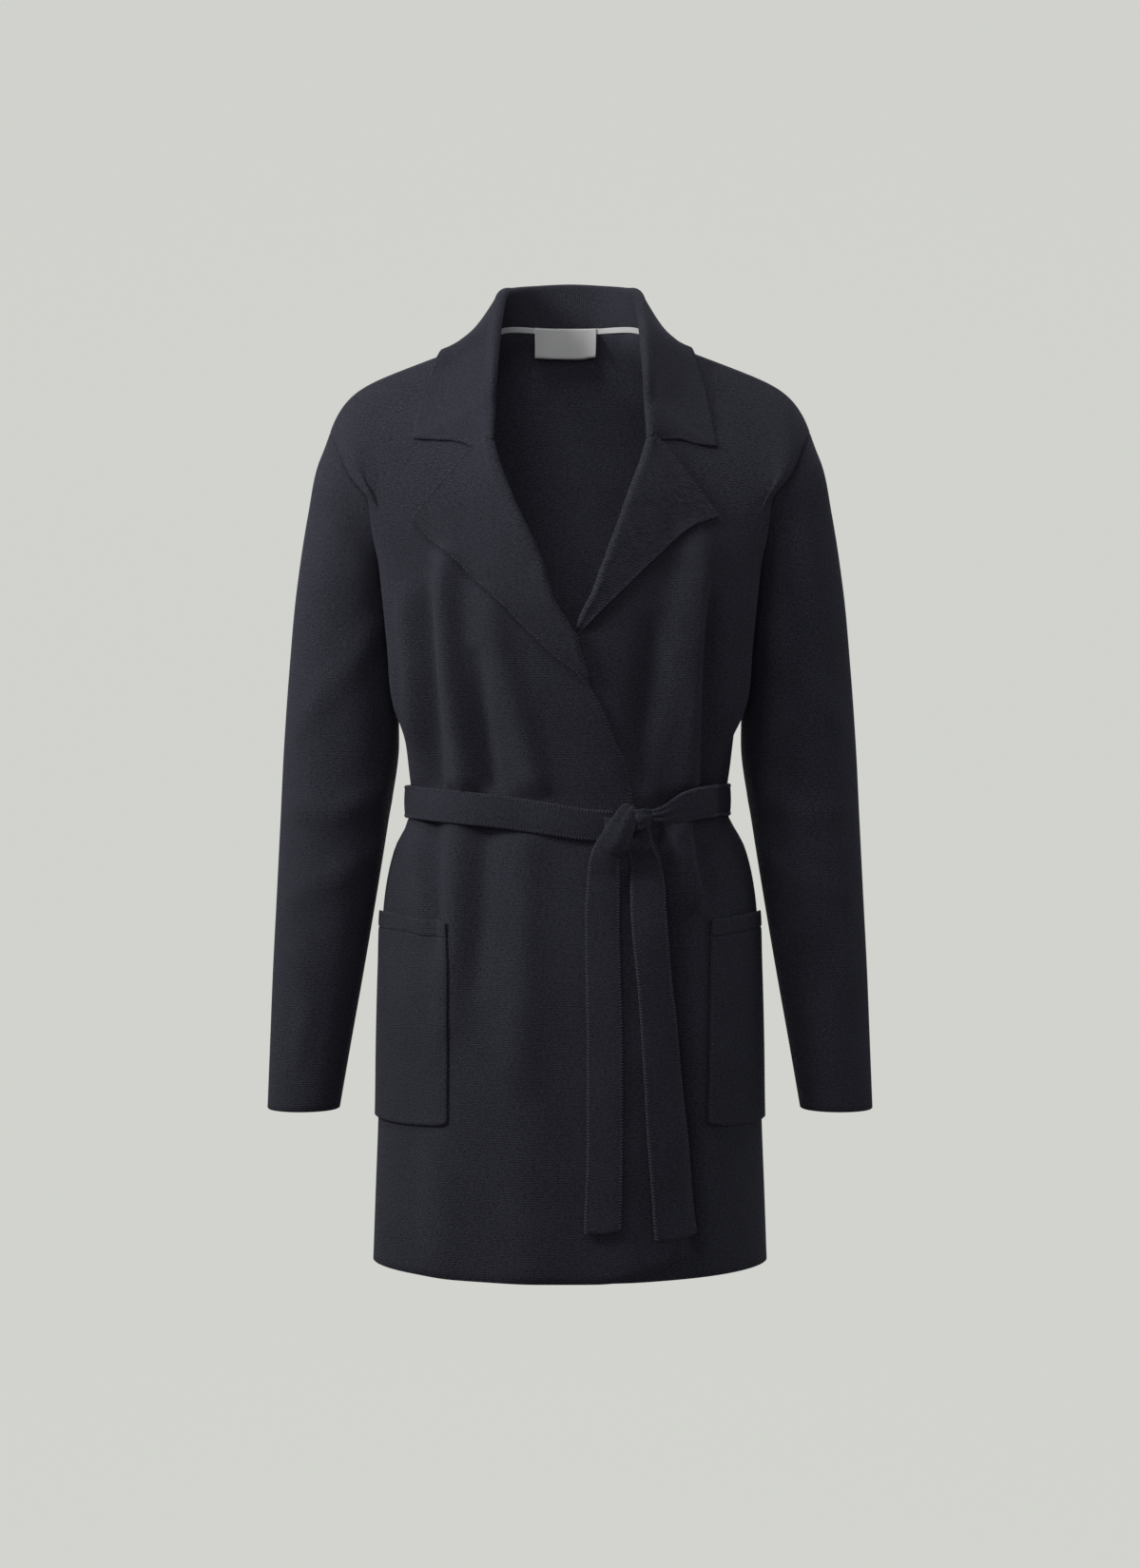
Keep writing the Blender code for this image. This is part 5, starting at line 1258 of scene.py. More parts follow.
def belt_piece(material, count=200, across=10):
    """The belt round the waist, from one side of the knot to the other."""
    cloth = Cloth("belt_waist_strip", BELT_THICKNESS, rim=0.35)
    columns = []
    for which, angles in zip((FRONT, BACK, FRONT), belt_columns(count)):
        base = which.point(angles, level_rise(np.full(len(angles), -412.0), which))
        z = np.full(len(angles), -411.0)
        half_height = np.full(len(angles), 13.3)
        lift = np.zeros(len(angles))
        gather = np.zeros(len(angles))
        if which is FRONT:
            z = smooth(BELT_LINE["x"], BELT_LINE["z"], base[:, 0])
            half_height = smooth(BELT_LINE["x"], BELT_LINE["half_height"], base[:, 0])
            lift = LAP_LIFT * ease(base[:, 0], -135, -98) * (1 - ease(base[:, 0], 62, 95))
            gather = np.where(base[:, 0] > 60, np.exp(-((base[:, 0] - 66) / 16) ** 2), 0)
        rises = [level_rise(z + half_height * part, which) for part in (-1, -0.5, 0, 0.5, 1)]
        middle, normal, most = belt_clearance(which, angles, rises)
        reach = WALL / 2 + SEAM_GAP + BELT_THICKNESS / 2 + 0.5 + lift + most
        strip = []
        for part in np.linspace(-1, 1, across + 1):
            ripple = math.sin(part * 7.5) * 0.5 + 0.5
            bow = 0.8 * (1 - part * part) + 2.6 * gather * ripple + 3.0 * gather
            point = middle + normal * (reach + bow)[:, None]
            point[:, 2] = z + half_height * part
            strip.append(point)
        columns.append(np.stack(strip, axis=1))
    grid = np.concatenate(columns)
    return *cloth.finish(grid, material), grid


def belt_end_piece(name, rows, head, material, across=12, count=130):
    """An end of the belt, out of the knot and down the skirt."""
    cloth = Cloth(name, BELT_THICKNESS, rim=0.35)
    parts = np.linspace(-1, 1, across + 1)
    lean = np.radians(head["lean"])[:, None]
    wide = np.stack((np.cos(lean), np.zeros_like(lean), np.sin(lean)), axis=-1)
    middle = np.stack((head["x"], head["y"], head["z"]), axis=-1)[:, None]
    top = middle + wide * (head["half"][:, None] * parts)[..., None]
    top[..., 1] -= head["crown"][:, None] * (1 - parts**2)
    order = np.argsort(rows["z"])
    z = np.linspace(rows["z"][0], rows["z"][-1], 34)
    left = smooth(rows["z"][order], rows["left"][order], z)[:, None]
    right = smooth(rows["z"][order], rows["right"][order], z)[:, None]
    clearance = smooth(rows["z"][order], rows["clearance"][order], z)[:, None]
    fraction = ((z - z[0]) / (z[-1] - z[0]))[:, None]
    curl = ease(fraction, 0.94, 1.0)
    wave = 0.5 * np.sin(fraction * 21 + rows["left"][0])
    x = (left + right) / 2 + (right - left) / 2 * parts
    drop = -1.6 * curl * (1 - parts**2) + 1.2 * parts * curl
    lifted = clearance + 0.7 * (1 - parts**2) + wave * parts + 1.2 * curl
    levels = np.concatenate((top, FRONT.over(x, z[:, None] + drop, lifted)))
    run = running(np.linalg.norm(np.diff(levels, axis=0), axis=2).mean(axis=1))
    grid = loft(run, levels, np.linspace(0, run[-1], count))
    return *cloth.finish(grid, material), grid


def ribbon_piece(name, rows, material, across=14, parts=14):
    """A strip of belt cloth through places with a half width, a direction and a crown, as in a knot."""
    index = np.arange(len(rows["x"]), dtype=float)
    at = np.linspace(0, index[-1], int(index[-1]) * parts + 1)
    fine = {key: smooth(index, values, at) for key, values in rows.items()}
    centre = np.stack((fine["x"], fine["y"], fine["z"]), axis=-1)
    lean = np.radians(fine["lean"])
    wide = np.stack((np.cos(lean), np.zeros_like(lean), np.sin(lean)), axis=-1)
    travel = unit(np.gradient(centre, axis=0))
    face = unit(np.cross(travel, wide))
    face = np.where(face[:, 1:2] > 0, -face, face)
    grid = []
    for part in np.linspace(-1, 1, across + 1):
        crown = fine["crown"] * (1 - part * part) + fine["pleat"] * np.sin(part * 6.3 + 0.8)
        grid.append(centre + wide * (fine["half"] * part)[:, None] + face * crown[:, None])
    return Cloth(name, BELT_THICKNESS, rim=0.35).finish(np.stack(grid, axis=1), material)


def tape_piece(material, count=80):
    """The white tape over the seam of the back neck."""
    x = np.linspace(-66, 66, count + 1)
    y = smooth(BACK_TOP["x"], BACK_TOP["y"], np.abs(x))
    z = smooth(BACK_TOP["x"], BACK_TOP["z"], np.abs(x))
    line = np.stack((x, y, z), axis=-1)
    travel = unit(np.gradient(line[:, :2], axis=0))
    inward = np.stack((travel[:, 1], -travel[:, 0], np.zeros(len(x))), axis=-1)
    base = line + inward * (WALL / 2 + 1.9)
    rows = [base + (0, 0, height) for height in np.linspace(-1.6, 3.2, 7)]
    return Cloth("neck_tape_strip", 0.8, rim=0.3).finish(np.stack(rows, axis=1), material)


def label_piece(material, columns=44):
    """The bare label, a strip folded into a loop with its ends under the tape."""
    x = np.linspace(-31.6, 23.8, columns + 1)
    y = smooth(BACK_TOP["x"], BACK_TOP["y"], np.abs(x))
    rows = []
    drop = 26.6
    bend = 0.75
    for fraction in np.linspace(0, 1, 26):
        down = min(1.0, fraction / 0.46, 1 - (fraction - 0.54) / 0.46)
        turn = math.pi * min(1.0, max(0.0, (fraction - 0.46) / 0.08))
        depth = bend * (1 - math.cos(turn))
        height = -drop * down - bend * math.sin(turn)
        kick = 1.8 * ease(x, 8, 24) * down**2
        bow = 0.9 * np.sin(x * 0.09 + 0.6) * down
        front = y - WALL / 2 - 1.5 - 0.8 - 2.2 + 1.2 * down - kick + bow
        rows.append(np.stack((x - 0.4 * kick, front + depth, 16.6 + height + 0.7 * kick), axis=-1))
    return Cloth("label_loop", 0.5, rim=0.3).finish(np.stack(rows), material)


def stitch_rows(name, paths, material, radius, sides=6):
    """Short bent stitches in one mesh. A path gives starts, ends and the direction they bow out in."""
    points = []
    faces = []
    total = 0
    steps = np.linspace(0, 1, 6)
    size = len(steps) * sides
    pattern = []
    for ring in range(len(steps) - 1):
        low = ring * sides
        for turn in range(sides):
            following = (turn + 1) % sides
            pattern.append((low + turn, low + following, low + sides + following, low + sides + turn))
    caps = np.array((tuple(range(sides))[::-1], tuple(range(size - sides, size))))
    for starts, ends, bows in paths:
        rings = []
        line = ends - starts
        length = np.linalg.norm(line, axis=1, keepdims=True)
        axis = line / np.maximum(length, 1e-6)
        side = unit(np.cross(axis, bows))
        up = unit(np.cross(side, axis))
        for step in steps:
            swell = math.sqrt(max(0.0, 1 - (2 * step - 1) ** 4)) * 0.8 + 0.2
            centre = starts + line * step + bows * (4 * step * (1 - step)) * length * 0.22
            for turn in range(sides):
                angle = 2 * math.pi * turn / sides
                rings.append(centre + (side * math.cos(angle) + up * math.sin(angle)) * radius * swell)
        points.append(np.stack(rings, axis=1).reshape(-1, 3))
        first = total + np.arange(len(starts))[:, None] * size
        faces += (first[:, :, None] + np.array(pattern)[None]).reshape(-1, 4).tolist()
        faces += (first[:, :, None] + caps[None]).reshape(-1, sides).tolist()
        total += len(starts) * size
    return shell(name, np.concatenate(points), faces, None, material)


def stitches_over_edge(grid, pitch, depth, thickness=WALL):
    """Whip stitches over one edge of a strip: grid rows run along the edge, column 0 being the edge."""
    line = grid[:, 0]
    run = run_along(line, 0)
    at = np.arange(pitch / 2, run[-1], pitch)
    places = at_run(at, run, line)
    reach = unit(at_run(at, run, unit(grid[:, 1] - line)))
    travel = unit(np.gradient(places, axis=0))
    up = unit(np.cross(travel, reach))
    up = np.where(up[:, 1:2] > 0, -up, up)
    starts = places - reach + up * thickness * 0.2
    ends = places + reach * depth + travel * pitch * 0.25 + up * thickness * 0.5
    return starts, ends, up


def running_stitches(line, pitch, length=2.2, sink=0.1):
    """A row of running stitches along a line that lies on a front."""
    run = run_along(line, 0)
    at = np.arange(pitch / 2, run[-1] - length, pitch)
    up = np.tile((0.0, -1.0, 0.0), (len(at), 1))
    return at_run(at, run, line) - up * sink, at_run(at + length, run, line) - up * sink, up


# Finishes


class Value:
    """A number on a node's socket. Arithmetic on it adds Math nodes."""

    def __init__(self, finish, socket):
        self.finish = finish
        self.socket = socket

    def _math(self, operation, first, second=None):
        inputs = {0: first}
        if second is not None:
            inputs[1] = second
        node = self.finish.node("ShaderNodeMath", {"operation": operation}, inputs)
        return Value(self.finish, node.outputs[0])

    def __add__(self, other):
        return self._math("ADD", self, other)

    def __radd__(self, other):
        return self._math("ADD", other, self)

    def __sub__(self, other):
        return self._math("SUBTRACT", self, other)

    def __rsub__(self, other):
        return self._math("SUBTRACT", other, self)

    def __mul__(self, other):
        return self._math("MULTIPLY", self, other)

    def __rmul__(self, other):
        return self._math("MULTIPLY", other, self)

    def sine(self):
        return self._math("SINE", self)


class Finish:
    """A material under way: a node tree and the one way of adding nodes to it."""

    def __init__(self, name):
        self.material = bpy.data.materials.new(name)
        self.material.use_nodes = True
        self.tree = self.material.node_tree
        self.shader = self.tree.nodes["Principled BSDF"]

    def node(self, kind, settings=None, inputs=None):
        """Adds a node: its settings are set first, then its sockets get their values or links."""
        node = self.tree.nodes.new(kind)
        for name, setting in (settings or {}).items():
            setattr(node, name, setting)
        for name, value in (inputs or {}).items():
            self.feed(node.inputs[name], value)
        return node

    def surface(self, **values):
        """Gives the shader's sockets their values or links, each named with _ for a space."""
        for name, value in values.items():
            self.feed(self.shader.inputs[name.replace("_", " ")], value)

    def feed(self, socket, value):
        """Links a value to a socket, or sets a plain one on it."""
        if isinstance(value, Value):
            value = value.socket
        if isinstance(value, bpy.types.NodeSocket):
            self.tree.links.new(value, socket)
        else:
            socket.default_value = value

    def value(self, node, output=0):
        return Value(self, node.outputs[output])

    def cloth_places(self):
        """Across and along the flat cloth, in metres, and both as one vector."""
        chart = self.node("ShaderNodeUVMap", {"uv_map": "knit"})
        parts = self.node("ShaderNodeSeparateXYZ", None, {0: chart.outputs[0]})
        return self.value(parts, 0), self.value(parts, 1), chart.outputs[0]

    def object_places(self):
        """Places in the garment itself, in metres."""
        return self.node("ShaderNodeTexCoord").outputs["Object"]

    def noise(self, vector, scale, detail=2.0, roughness=0.55):
        """Soft random spots, so many to a metre."""
        inputs = {"Vector": vector, "Scale": scale, "Detail": detail, "Roughness": roughness}
        return self.value(self.node("ShaderNodeTexNoise", None, inputs))

    def waves(self, place, pitch, wander=0.0):
        """Even waves, one to each pitch."""
        return (place * (2 * math.pi / pitch) + wander).sine()

    def stretched(self, vector, across, along):
        """The same places drawn out across or along the cloth."""
        inputs = {0: vector, 1: (across, along, 1.0)}
        return self.node("ShaderNodeVectorMath", {"operation": "MULTIPLY"}, inputs).outputs[0]

    def mix(self, share, first, second):
        """A colour between two."""
        settings = {"data_type": "RGBA", "clamp_factor": True}
        return self.node("ShaderNodeMix", settings, {0: share, 6: first, 7: second}).outputs[2]

    def bump(self, height, distance, strength):
        """The direction of a surface raised by this height."""
        inputs = {"Height": height, "Distance": distance, "Strength": strength}
        return self.node("ShaderNodeBump", None, inputs).outputs[0]


def rgb(colour, gain=1.0):
    """A colour for a socket, paler or darker by the gain."""
    return (colour[0] * gain, colour[1] * gain, colour[2] * gain, 1.0)


def knit_finish(name, row_pitch, rib_pitch, rib_share, contrast):
    """Fine double knit: rows across, ribs along, a heathered yarn and a soft nap, with painted shade in the
    knit's hollows and painted light on the stitch tops.
    """
    look = bpy.context.scene.cardigan_looks
    finish = Finish(name)
    across, along, chart = finish.cloth_places()
    places = finish.object_places()
    wander = (finish.noise(places, 45.0, 2.0) - 0.5) * 3.0
    rows = finish.waves(along, row_pitch, wander)
    ribs = finish.waves(across, rib_pitch, wander)
    yarn = finish.noise(finish.stretched(chart, 1.0, 1.7), 780.0, 2.0, 0.7)
    fuzz = finish.noise(places, 1500.0, 2.0, 0.6)
    cloud = finish.noise(places, 22.0, 3.0, 0.5)
    pile = finish.noise(finish.stretched(chart, 0.7, 1.6), 420.0, 2.0, 0.6)
    # The rows and ribs go into the colour as well as the bump: painted shade in the hollows and painted
    # light on the stitch tops. The heather and the cloud are the yarn's own tone.
    knit = rows * (1 - rib_share) + ribs * rib_share
    heather = (yarn - 0.5) * 2.2 + (fuzz - 0.5) * 1.4 + (pile - 0.5) * 1.0
    tone = 0.48 + heather + knit * contrast + (cloud - 0.5) * 0.25
    # The inside of the back takes the same yarn made paler: painted light for the light reaching into the
    # garment.
    gain = look.inside if name == "knit_inside" else 1.0
    height = knit * (contrast * 3.5) + (yarn - 0.5) * 1.4 + (fuzz - 0.5) * 0.8 + (pile - 0.5) * 0.8
    finish.surface(
        Base_Color=finish.mix(tone, rgb(look.yarn_dark_and_hollow_shade, gain), rgb(look.yarn_light_and_stitch_highlight, gain)),
        Roughness=0.86 + (fuzz - 0.5) * 0.15,
        Normal=finish.bump(height, 0.0005, look.knit_depth),
        Sheen_Weight=look.nap,
        Sheen_Roughness=0.55,
        Sheen_Tint=rgb(look.nap_tint),
        Specular_IOR_Level=0.12,
    )
    return finish.material


def woven_finish(name, colour, pitch, depth):
    """White woven tape: fine ribs across the strip, with painted shade in the grooves."""
    finish = Finish(name)
    across, along, chart = finish.cloth_places()
    ribs = finish.waves(across, pitch)
    picks = finish.waves(along, pitch * 0.8)
    grain = finish.noise(chart, 900.0)
    # Darker where the ribs and picks dip: painted shade in the grooves. The grain is the tape's own uneven
    # tone.
    tone = 0.62 + ribs * 0.16 + picks * 0.08 + (grain - 0.5) * 0.4
    finish.surface(
        Base_Color=finish.mix(tone, rgb(colour, 0.78), rgb(colour)),
        Roughness=0.62 + (grain - 0.5) * 0.2,
        Normal=finish.bump(ribs * 0.6 + picks * 0.3 + grain * 0.5, 0.0003, depth),
        Sheen_Weight=0.1,
        Specular_IOR_Level=0.3,
    )
    return finish.material


def thread_finish(name, colour):
    """Sewing yarn a little lighter than the cloth."""
    finish = Finish(name)
    twist = finish.noise(finish.object_places(), 2600.0)
    finish.surface(
        Base_Color=finish.mix(twist, rgb(colour, 0.6), rgb(colour)),
        Roughness=0.6 + twist * 0.3,
        Normal=finish.bump(twist, 0.0002, 0.4),
        Specular_IOR_Level=0.2,
    )
    return finish.material


def backdrop_finish(name, colour, glow):
    """Smooth pale paper for the floor and the wall behind."""
    finish = Finish(name)
    cloud = finish.noise(finish.object_places(), 0.8, 1.0)
    finish.surface(
        Base_Color=finish.mix(cloud, rgb(colour, 0.09), rgb(colour, 0.1)),
        Roughness=0.95,
        Specular_IOR_Level=0.0,
        Emission_Color=rgb(colour),
        Emission_Strength=glow,
    )
    return finish.material


# Row pitch and rib pitch in metres, how far the ribs show over the rows, and how strongly, which sets both
# the bump and the painted shade in the knit's hollows
KNITS = {
    "face": (0.0019, 0.0013, 0.15, 0.11),
    # The inside's yarn is made paler in knit_finish: painted light.
    "inside": (0.0019, 0.0013, 0.1, 0.15),
    "lapel": (0.0021, 0.0022, 0.85, 0.22),
    "belt": (0.0017, 0.0014, 0.3, 0.12),
}


def knit(kind):
    """The knit of this kind, made once."""
    name = "knit_" + kind
    if name not in bpy.data.materials:
        knit_finish(name, *KNITS[kind])
    return bpy.data.materials[name]


def thread():
    """The sewing yarn, made once."""
    if "seam_thread" not in bpy.data.materials:
        thread_finish("seam_thread", bpy.context.scene.cardigan_looks.thread)
    return bpy.data.materials["seam_thread"]


def cut_cloth(node):
    """Hides the part from model.glb that the new piece takes the place of."""
    if node:
        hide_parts(node)


# What a user would change

COLOUR = {"subtype": "COLOR", "size": 3}
LENGTH = {"subtype": "DISTANCE", "unit": "LENGTH"}
SHARE = {"subtype": "FACTOR", "min": 0, "max": 1}


class CardiganLooks(bpy.types.PropertyGroup):
    """Colours and finish of the cloth."""

    # The dark yarn also serves as painted shade in the hollows of the knit.
    yarn_dark_and_hollow_shade: bpy.props.FloatVectorProperty(
        name="Dark yarn",
        description="Colour in the hollows of the knit",
        **COLOUR,
        default=(0.011, 0.011, 0.016),
    )
    # The light yarn also serves as painted light on the tops of the stitches.
    yarn_light_and_stitch_highlight: bpy.props.FloatVectorProperty(
        name="Light yarn",
        description="Colour on the tops of the stitches",
        **COLOUR,
        default=(0.068, 0.068, 0.090),
    )
    nap_tint: bpy.props.FloatVectorProperty(
        name="Nap tint",
        description="Colour of the soft nap seen at a slant",
        **COLOUR,
        default=(0.62, 0.64, 0.78),
    )
    thread: bpy.props.FloatVectorProperty(
        name="Thread",
        description="Colour of the sewing yarn",
        **COLOUR,
        default=(0.13, 0.13, 0.17),
    )
    tape: bpy.props.FloatVectorProperty(
        name="Tape",
        description="Colour of the neck tape and the label",
        **COLOUR,
        default=(0.80, 0.80, 0.79),
    )
    # A paler copy of the yarn for the inside of the back: painted light for the light reaching into the
    # garment.
    inside: bpy.props.FloatProperty(
        name="Inside",
        description="How much paler the yarn is on the inside of the back",
        default=2.1,
        min=0.5,
        max=3,
    )
    nap: bpy.props.FloatProperty(
        name="Nap",
        description="How much soft nap the knit carries",
        default=0.10,
        **SHARE,
    )
    knit_depth: bpy.props.FloatProperty(
        name="Knit depth",
        description="Strength of the raised knit",
        default=0.75,
        **SHARE,
    )


class CardiganSewing(bpy.types.PropertyGroup):
    """Sizes of the stitches."""

    belt_pitch: bpy.props.FloatProperty(
        name="Belt stitch pitch",
        description="Distance between the whip stitches on the belt",
        default=0.0026,
        **LENGTH,
    )
    edge_pitch: bpy.props.FloatProperty(
        name="Edge stitch pitch",
        description="Distance between the whip stitches on the front and lapel edges",
        default=0.0031,
        **LENGTH,
    )
    pocket_pitch: bpy.props.FloatProperty(
        name="Pocket stitch pitch",
        description="Distance between the stitches round a pocket",
        default=0.0036,
        **LENGTH,
    )


# The middle surfaces that the stitches follow
GRIDS = {}


class CARDIGAN_OT_body(bpy.types.Operator):
    """Make the back and both fronts with their lapels"""

    bl_idname = "cardigan.body"
    bl_label = "Body"

    def execute(self, context):
        # The inner face of the back gets the paler knit_inside: painted light.
        piece, area = back_piece(knit("face"), knit("inside"))
        cut_cloth("back")
        fronts = {
            "front_right": (-1, RIGHT_EDGE, RIGHT_LAPEL),
            "front_left": (1, LEFT_EDGE, LEFT_LAPEL),
        }
        for node, measures in fronts.items():
            piece, area, GRIDS[node] = front_piece(*measures, knit("face"))
            piece.data.materials.append(knit("lapel"))
            paint_lapel(piece)
            cut_cloth(node)
        return {"FINISHED"}


def paint_lapel(piece):
    """Gives the turned-out flap the reverse of the knit, with its ribs showing."""
    layer = piece.data.uv_layers["knit"].data
    for polygon in piece.data.polygons:
        along = min(layer[index].uv[1] for index in polygon.loop_indices)
        if along > LAPEL_UV * MM * 0.9:
            polygon.material_index = 1


class CARDIGAN_OT_sleeves(bpy.types.Operator):
    """Make both sleeves"""

    bl_idname = "cardigan.sleeves"
    bl_label = "Sleeves"

    def execute(self, context):
        for side, node in ((-1, "sleeve_right"), (1, "sleeve_left")):
            piece, area = sleeve_piece(side, knit("face"))
            cut_cloth(node)
        return {"FINISHED"}


class CARDIGAN_OT_collar(bpy.types.Operator):
    """Make the collar"""

    bl_idname = "cardigan.collar"
    bl_label = "Collar"

    def execute(self, context):
        piece, area = collar_piece(knit("face"))
        cut_cloth("collar")
        return {"FINISHED"}


class CARDIGAN_OT_pockets(bpy.types.Operator):
    """Make both patch pockets"""

    bl_idname = "cardigan.pockets"
    bl_label = "Pockets"

    def execute(self, context):
        sizes = {
            "pocket_right": (-1, 101.0, 102.0, (-514.5, -509.5), (-685.5, -688.5)),
            "pocket_left": (1, 119.6, 116.3, (-514.5, -509.5), (-686.5, -690.0)),
        }
        for node, measures in sizes.items():
            piece, area, GRIDS[node] = pocket_piece(*measures, knit("face"))
            cut_cloth(node)
        return {"FINISHED"}


class CARDIGAN_OT_belt(bpy.types.Operator):
    """Make the belt, its knot and its hanging ends"""

    bl_idname = "cardigan.belt"
    bl_label = "Belt"

    def execute(self, context):
        piece, area, GRIDS["belt_waist"] = belt_piece(knit("belt"))
        cut_cloth("belt_waist")
        ends = {
            "belt_end_right": (BELT_END_RIGHT, HEAD_RIGHT),
            "belt_end_left": (BELT_END_LEFT, HEAD_LEFT),
        }
        for node, tables in ends.items():
            piece, area, GRIDS[node] = belt_end_piece(node + "_strip", *tables, knit("belt"))
            cut_cloth(node)
        strands = {
            "knot_lobe": ((0.025, 0.05), "belt_knot"),
            "knot_wrap": ((0.02, 0.033), None),
            "knot_under": ((0.02, 0.033), None),
        }
        for name, (flat, node) in strands.items():
            piece, area = ribbon_piece(name, KNOT_STRANDS[name], knit("belt"))
            cut_cloth(node)
        return {"FINISHED"}


class CARDIGAN_OT_neck(bpy.types.Operator):
    """Make the neck tape and the bare label"""

    bl_idname = "cardigan.neck"
    bl_label = "Neck tape and label"

    def execute(self, context):
        look = context.scene.cardigan_looks
        piece, area = tape_piece(woven_finish("white_tape", look.tape, 0.0012, 0.5))
        cut_cloth("neck_tape")
        piece, area = label_piece(woven_finish("white_label", look.tape, 0.0008, 0.3))
        cut_cloth("label")
        return {"FINISHED"}


class CARDIGAN_OT_sewing(bpy.types.Operator):
    """Make the whip stitches on the edges and the stitches round the pockets"""

    bl_idname = "cardigan.sewing"
    bl_label = "Sewing"

    def execute(self, context):
        sewing = context.scene.cardigan_sewing
        pitch = sewing.belt_pitch / MM
        paths = []
        for node in ("belt_waist", "belt_end_right", "belt_end_left"):
            for edge in (GRIDS[node], GRIDS[node][:, ::-1]):
                paths.append(stitches_over_edge(edge, pitch, 2.4, BELT_THICKNESS))
        stitch_rows("belt_stitches", paths, thread(), 0.28)
        pitch = sewing.edge_pitch / MM
        paths = [stitches_over_edge(GRIDS[node], pitch, 2.2) for node in ("front_right", "front_left")]
        stitch_rows("edge_stitches", paths, thread(), 0.21)
        pitch = sewing.pocket_pitch / MM
        paths = []
        for node in ("pocket_right", "pocket_left"):
            for line in (GRIDS[node][2:, 1], GRIDS[node][-2, 1:-1]):
                paths.append(running_stitches(line - (0, WALL / 2, 0), pitch))
        stitch_rows("pocket_stitches", paths, thread(), 0.2)
        return {"FINISHED"}


class CARDIGAN_OT_stage(bpy.types.Operator):
    """Make the pale floor, the lights and the camera"""

    bl_idname = "cardigan.stage"
    bl_label = "Stage"

    def execute(self, context):
        make_stage()
        return {"FINISHED"}


# Name, place, width and height in metres, power in watts and colour
LIGHTS = (
    ("key", (-1.2, -0.7, 0.35), (0.4, 0.4), 10.5, (1.0, 0.985, 0.99)),
    ("upper", (-0.5, -1.1, 1.4), (0.6, 0.6), 6.5, (1.0, 0.99, 1.0)),
    ("front", (0.0, -3.5, 0.0), (1.5, 1.5), 12.5, (0.97, 0.98, 1.0)),
    ("top", (-0.3, 0.0, 1.6), (0.8, 0.8), 3.7, (1.0, 1.0, 1.0)),
    ("behind", (0.4, 1.5, 1.45), (0.8, 0.8), 6.0, (1.0, 1.0, 1.0)),
    ("left_rim", (-2.2, 0.3, -0.2), (1.0, 1.5), 2.5, (1.0, 1.0, 1.0)),
    ("right_rim", (2.2, 0.2, -0.2), (1.0, 1.5), 4.6, (1.0, 1.0, 1.0)),
)
LIT_PLACE = (0, 0, -0.35)
FLOOR_Z = -1.75
FLOOR_FRONT_Y = 1.85
FLOOR_BEND_Y = 3.2
FLOOR_BEND = 2.6
WALL_TOP = 9.0
FLOOR_HALF_WIDTH = 3.4
CAMERA_PLACE = (0.0, -2.184, -0.397)
FOCAL_PIXELS = 2600.0
FRAME_PIXELS = 1649.0
SENSOR = 36.0


def area_light(name, place, size, power, colour):
    """A soft light that faces the garment."""
    light = bpy.data.lights.new(name, "AREA")
    light.shape = "RECTANGLE"
    light.size, light.size_y = size
    light.energy = power
    light.color = colour
    lamp = bpy.data.objects.new(name, light)
    lamp.location = place
    direction = np.array(LIT_PLACE) - np.array(place)
    yaw = math.atan2(-direction[0], direction[1])
    pitch = math.atan2(direction[2], math.hypot(direction[0], direction[1]))
    lamp.rotation_euler = (math.pi / 2 + pitch, 0, yaw)
    bpy.context.scene.collection.objects.link(lamp)


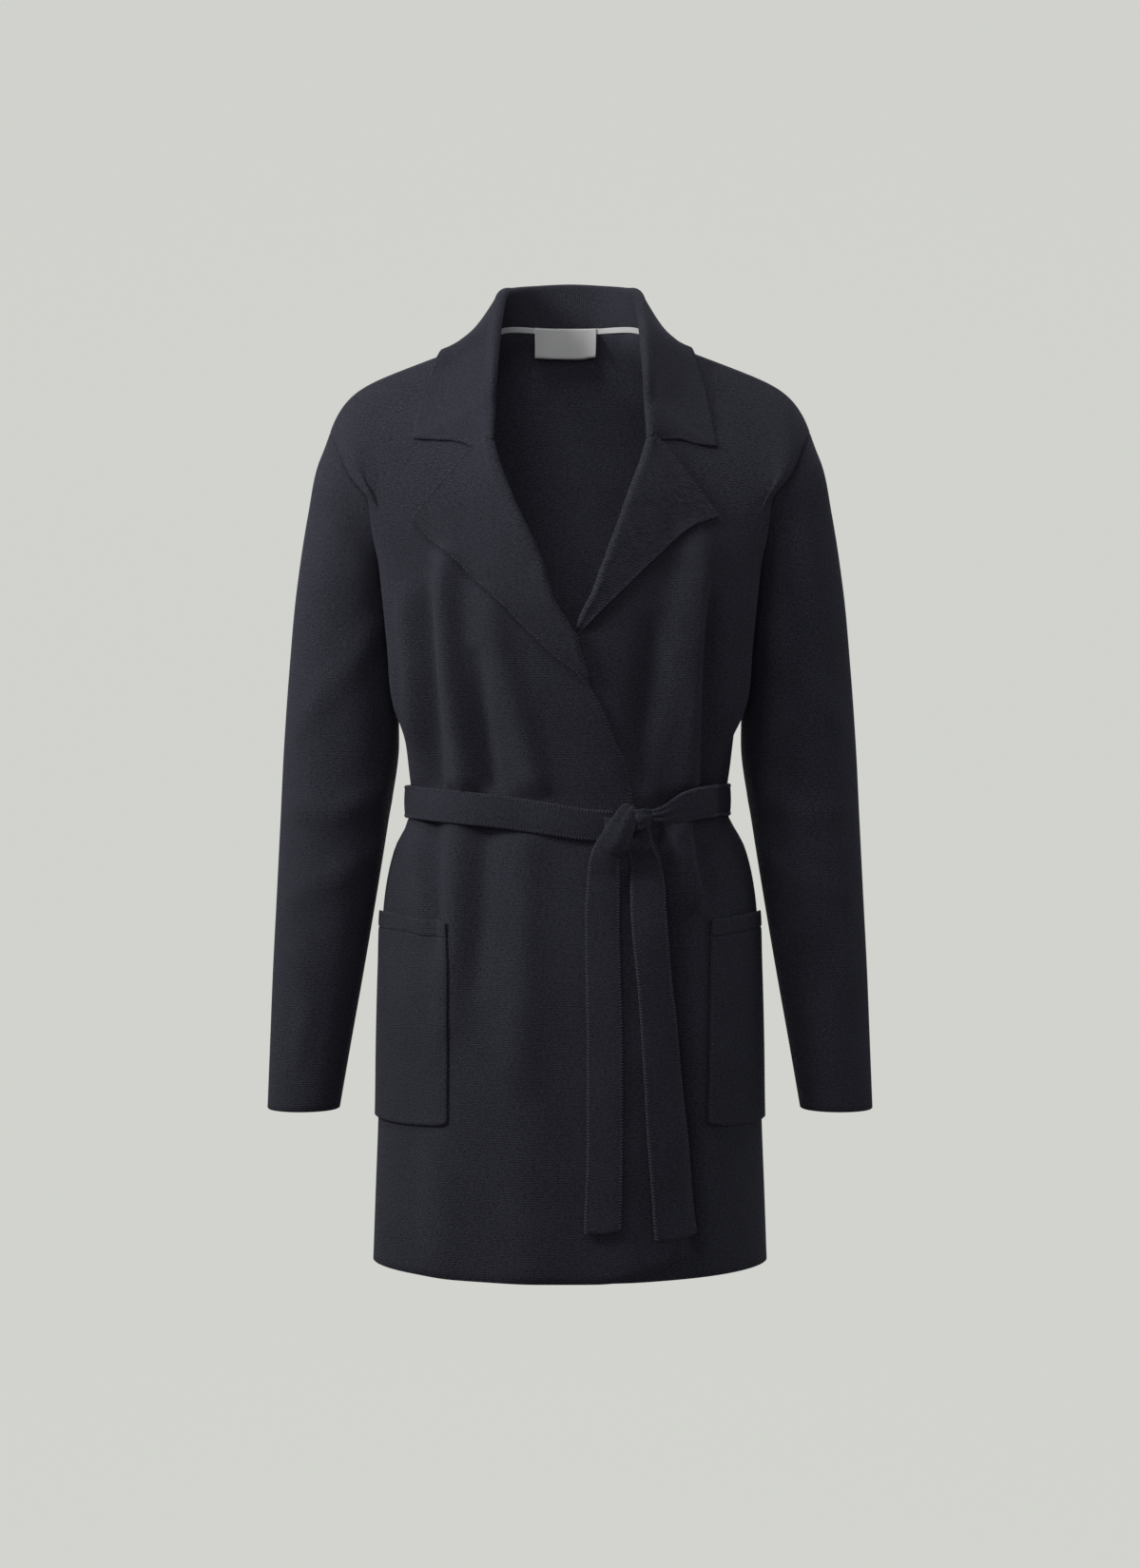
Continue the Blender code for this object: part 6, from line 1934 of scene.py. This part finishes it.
def make_stage():
    """A floor that curves up into a wall, soft light from the upper left and a level camera."""
    steps = np.linspace(0, math.pi / 2, 17)
    profile = [(FLOOR_FRONT_Y, 0.0)]
    for turn in steps:
        y = FLOOR_BEND_Y + FLOOR_BEND * math.sin(turn)
        profile.append((y, FLOOR_BEND - FLOOR_BEND * math.cos(turn)))
    profile.append((FLOOR_BEND_Y + FLOOR_BEND, WALL_TOP))
    sides = (-FLOOR_HALF_WIDTH, FLOOR_HALF_WIDTH)
    rows = np.array([[(x, y, z + FLOOR_Z) for x in sides] for y, z in profile])
    mesh = bpy.data.meshes.new("pale_floor")
    quads = [(2 * i, 2 * i + 1, 2 * i + 3, 2 * i + 2) for i in range(len(profile) - 1)]
    mesh.from_pydata(rows.reshape(-1, 3).tolist(), [], quads)
    mesh.polygons.foreach_set("use_smooth", np.ones(len(mesh.polygons), bool))
    floor = bpy.data.objects.new("pale_floor", mesh)
    bpy.context.scene.collection.objects.link(floor)
    mesh.materials.append(backdrop_finish("pale_paper", (0.63, 0.637, 0.603), 1.0))

    for measures in LIGHTS:
        area_light(*measures)

    world = bpy.data.worlds.new("studio")
    world.use_nodes = True
    sky = world.node_tree.nodes["Background"].inputs
    sky["Color"].default_value = (0.9, 0.93, 1.0, 1)
    sky["Strength"].default_value = 0.1
    bpy.context.scene.world = world
    bpy.context.scene.view_settings.view_transform = "Standard"

    camera = bpy.data.cameras.new("camera")
    camera.sensor_width = SENSOR
    camera.lens = SENSOR * FOCAL_PIXELS / FRAME_PIXELS
    holder = bpy.data.objects.new("camera", camera)
    holder.location = CAMERA_PLACE
    holder.rotation_euler = (math.pi / 2, 0, 0)
    bpy.context.scene.collection.objects.link(holder)
    bpy.context.scene.camera = holder


class CARDIGAN_PT_panel(bpy.types.Panel):
    """Lists the garment's pieces and the stage"""

    bl_idname = "CARDIGAN_PT_panel"
    bl_label = "Wrap cardigan"
    bl_space_type = "VIEW_3D"
    bl_region_type = "UI"
    bl_category = "Cardigan"

    def draw(self, context):
        layout = self.layout
        for group in (context.scene.cardigan_looks, context.scene.cardigan_sewing):
            for name in group.__annotations__:
                layout.prop(group, name)
        for operator in OPERATORS:
            layout.operator(operator.bl_idname)


OPERATORS = (
    CARDIGAN_OT_stage,
    CARDIGAN_OT_body,
    CARDIGAN_OT_sleeves,
    CARDIGAN_OT_collar,
    CARDIGAN_OT_pockets,
    CARDIGAN_OT_belt,
    CARDIGAN_OT_neck,
    CARDIGAN_OT_sewing,
)
CLASSES = (CardiganLooks, CardiganSewing, *OPERATORS, CARDIGAN_PT_panel)


def register():
    for one in CLASSES:
        bpy.utils.register_class(one)
    bpy.types.Scene.cardigan_looks = bpy.props.PointerProperty(type=CardiganLooks)
    bpy.types.Scene.cardigan_sewing = bpy.props.PointerProperty(type=CardiganSewing)


def unregister():
    del bpy.types.Scene.cardigan_sewing
    del bpy.types.Scene.cardigan_looks
    for one in reversed(CLASSES):
        bpy.utils.unregister_class(one)


def main():
    register()
    bpy.ops.cardigan.stage()
    bpy.ops.cardigan.body()
    bpy.ops.cardigan.sleeves()
    bpy.ops.cardigan.collar()
    bpy.ops.cardigan.pockets()
    bpy.ops.cardigan.belt()
    bpy.ops.cardigan.neck()
    bpy.ops.cardigan.sewing()


if __name__ == "__main__":
    main()
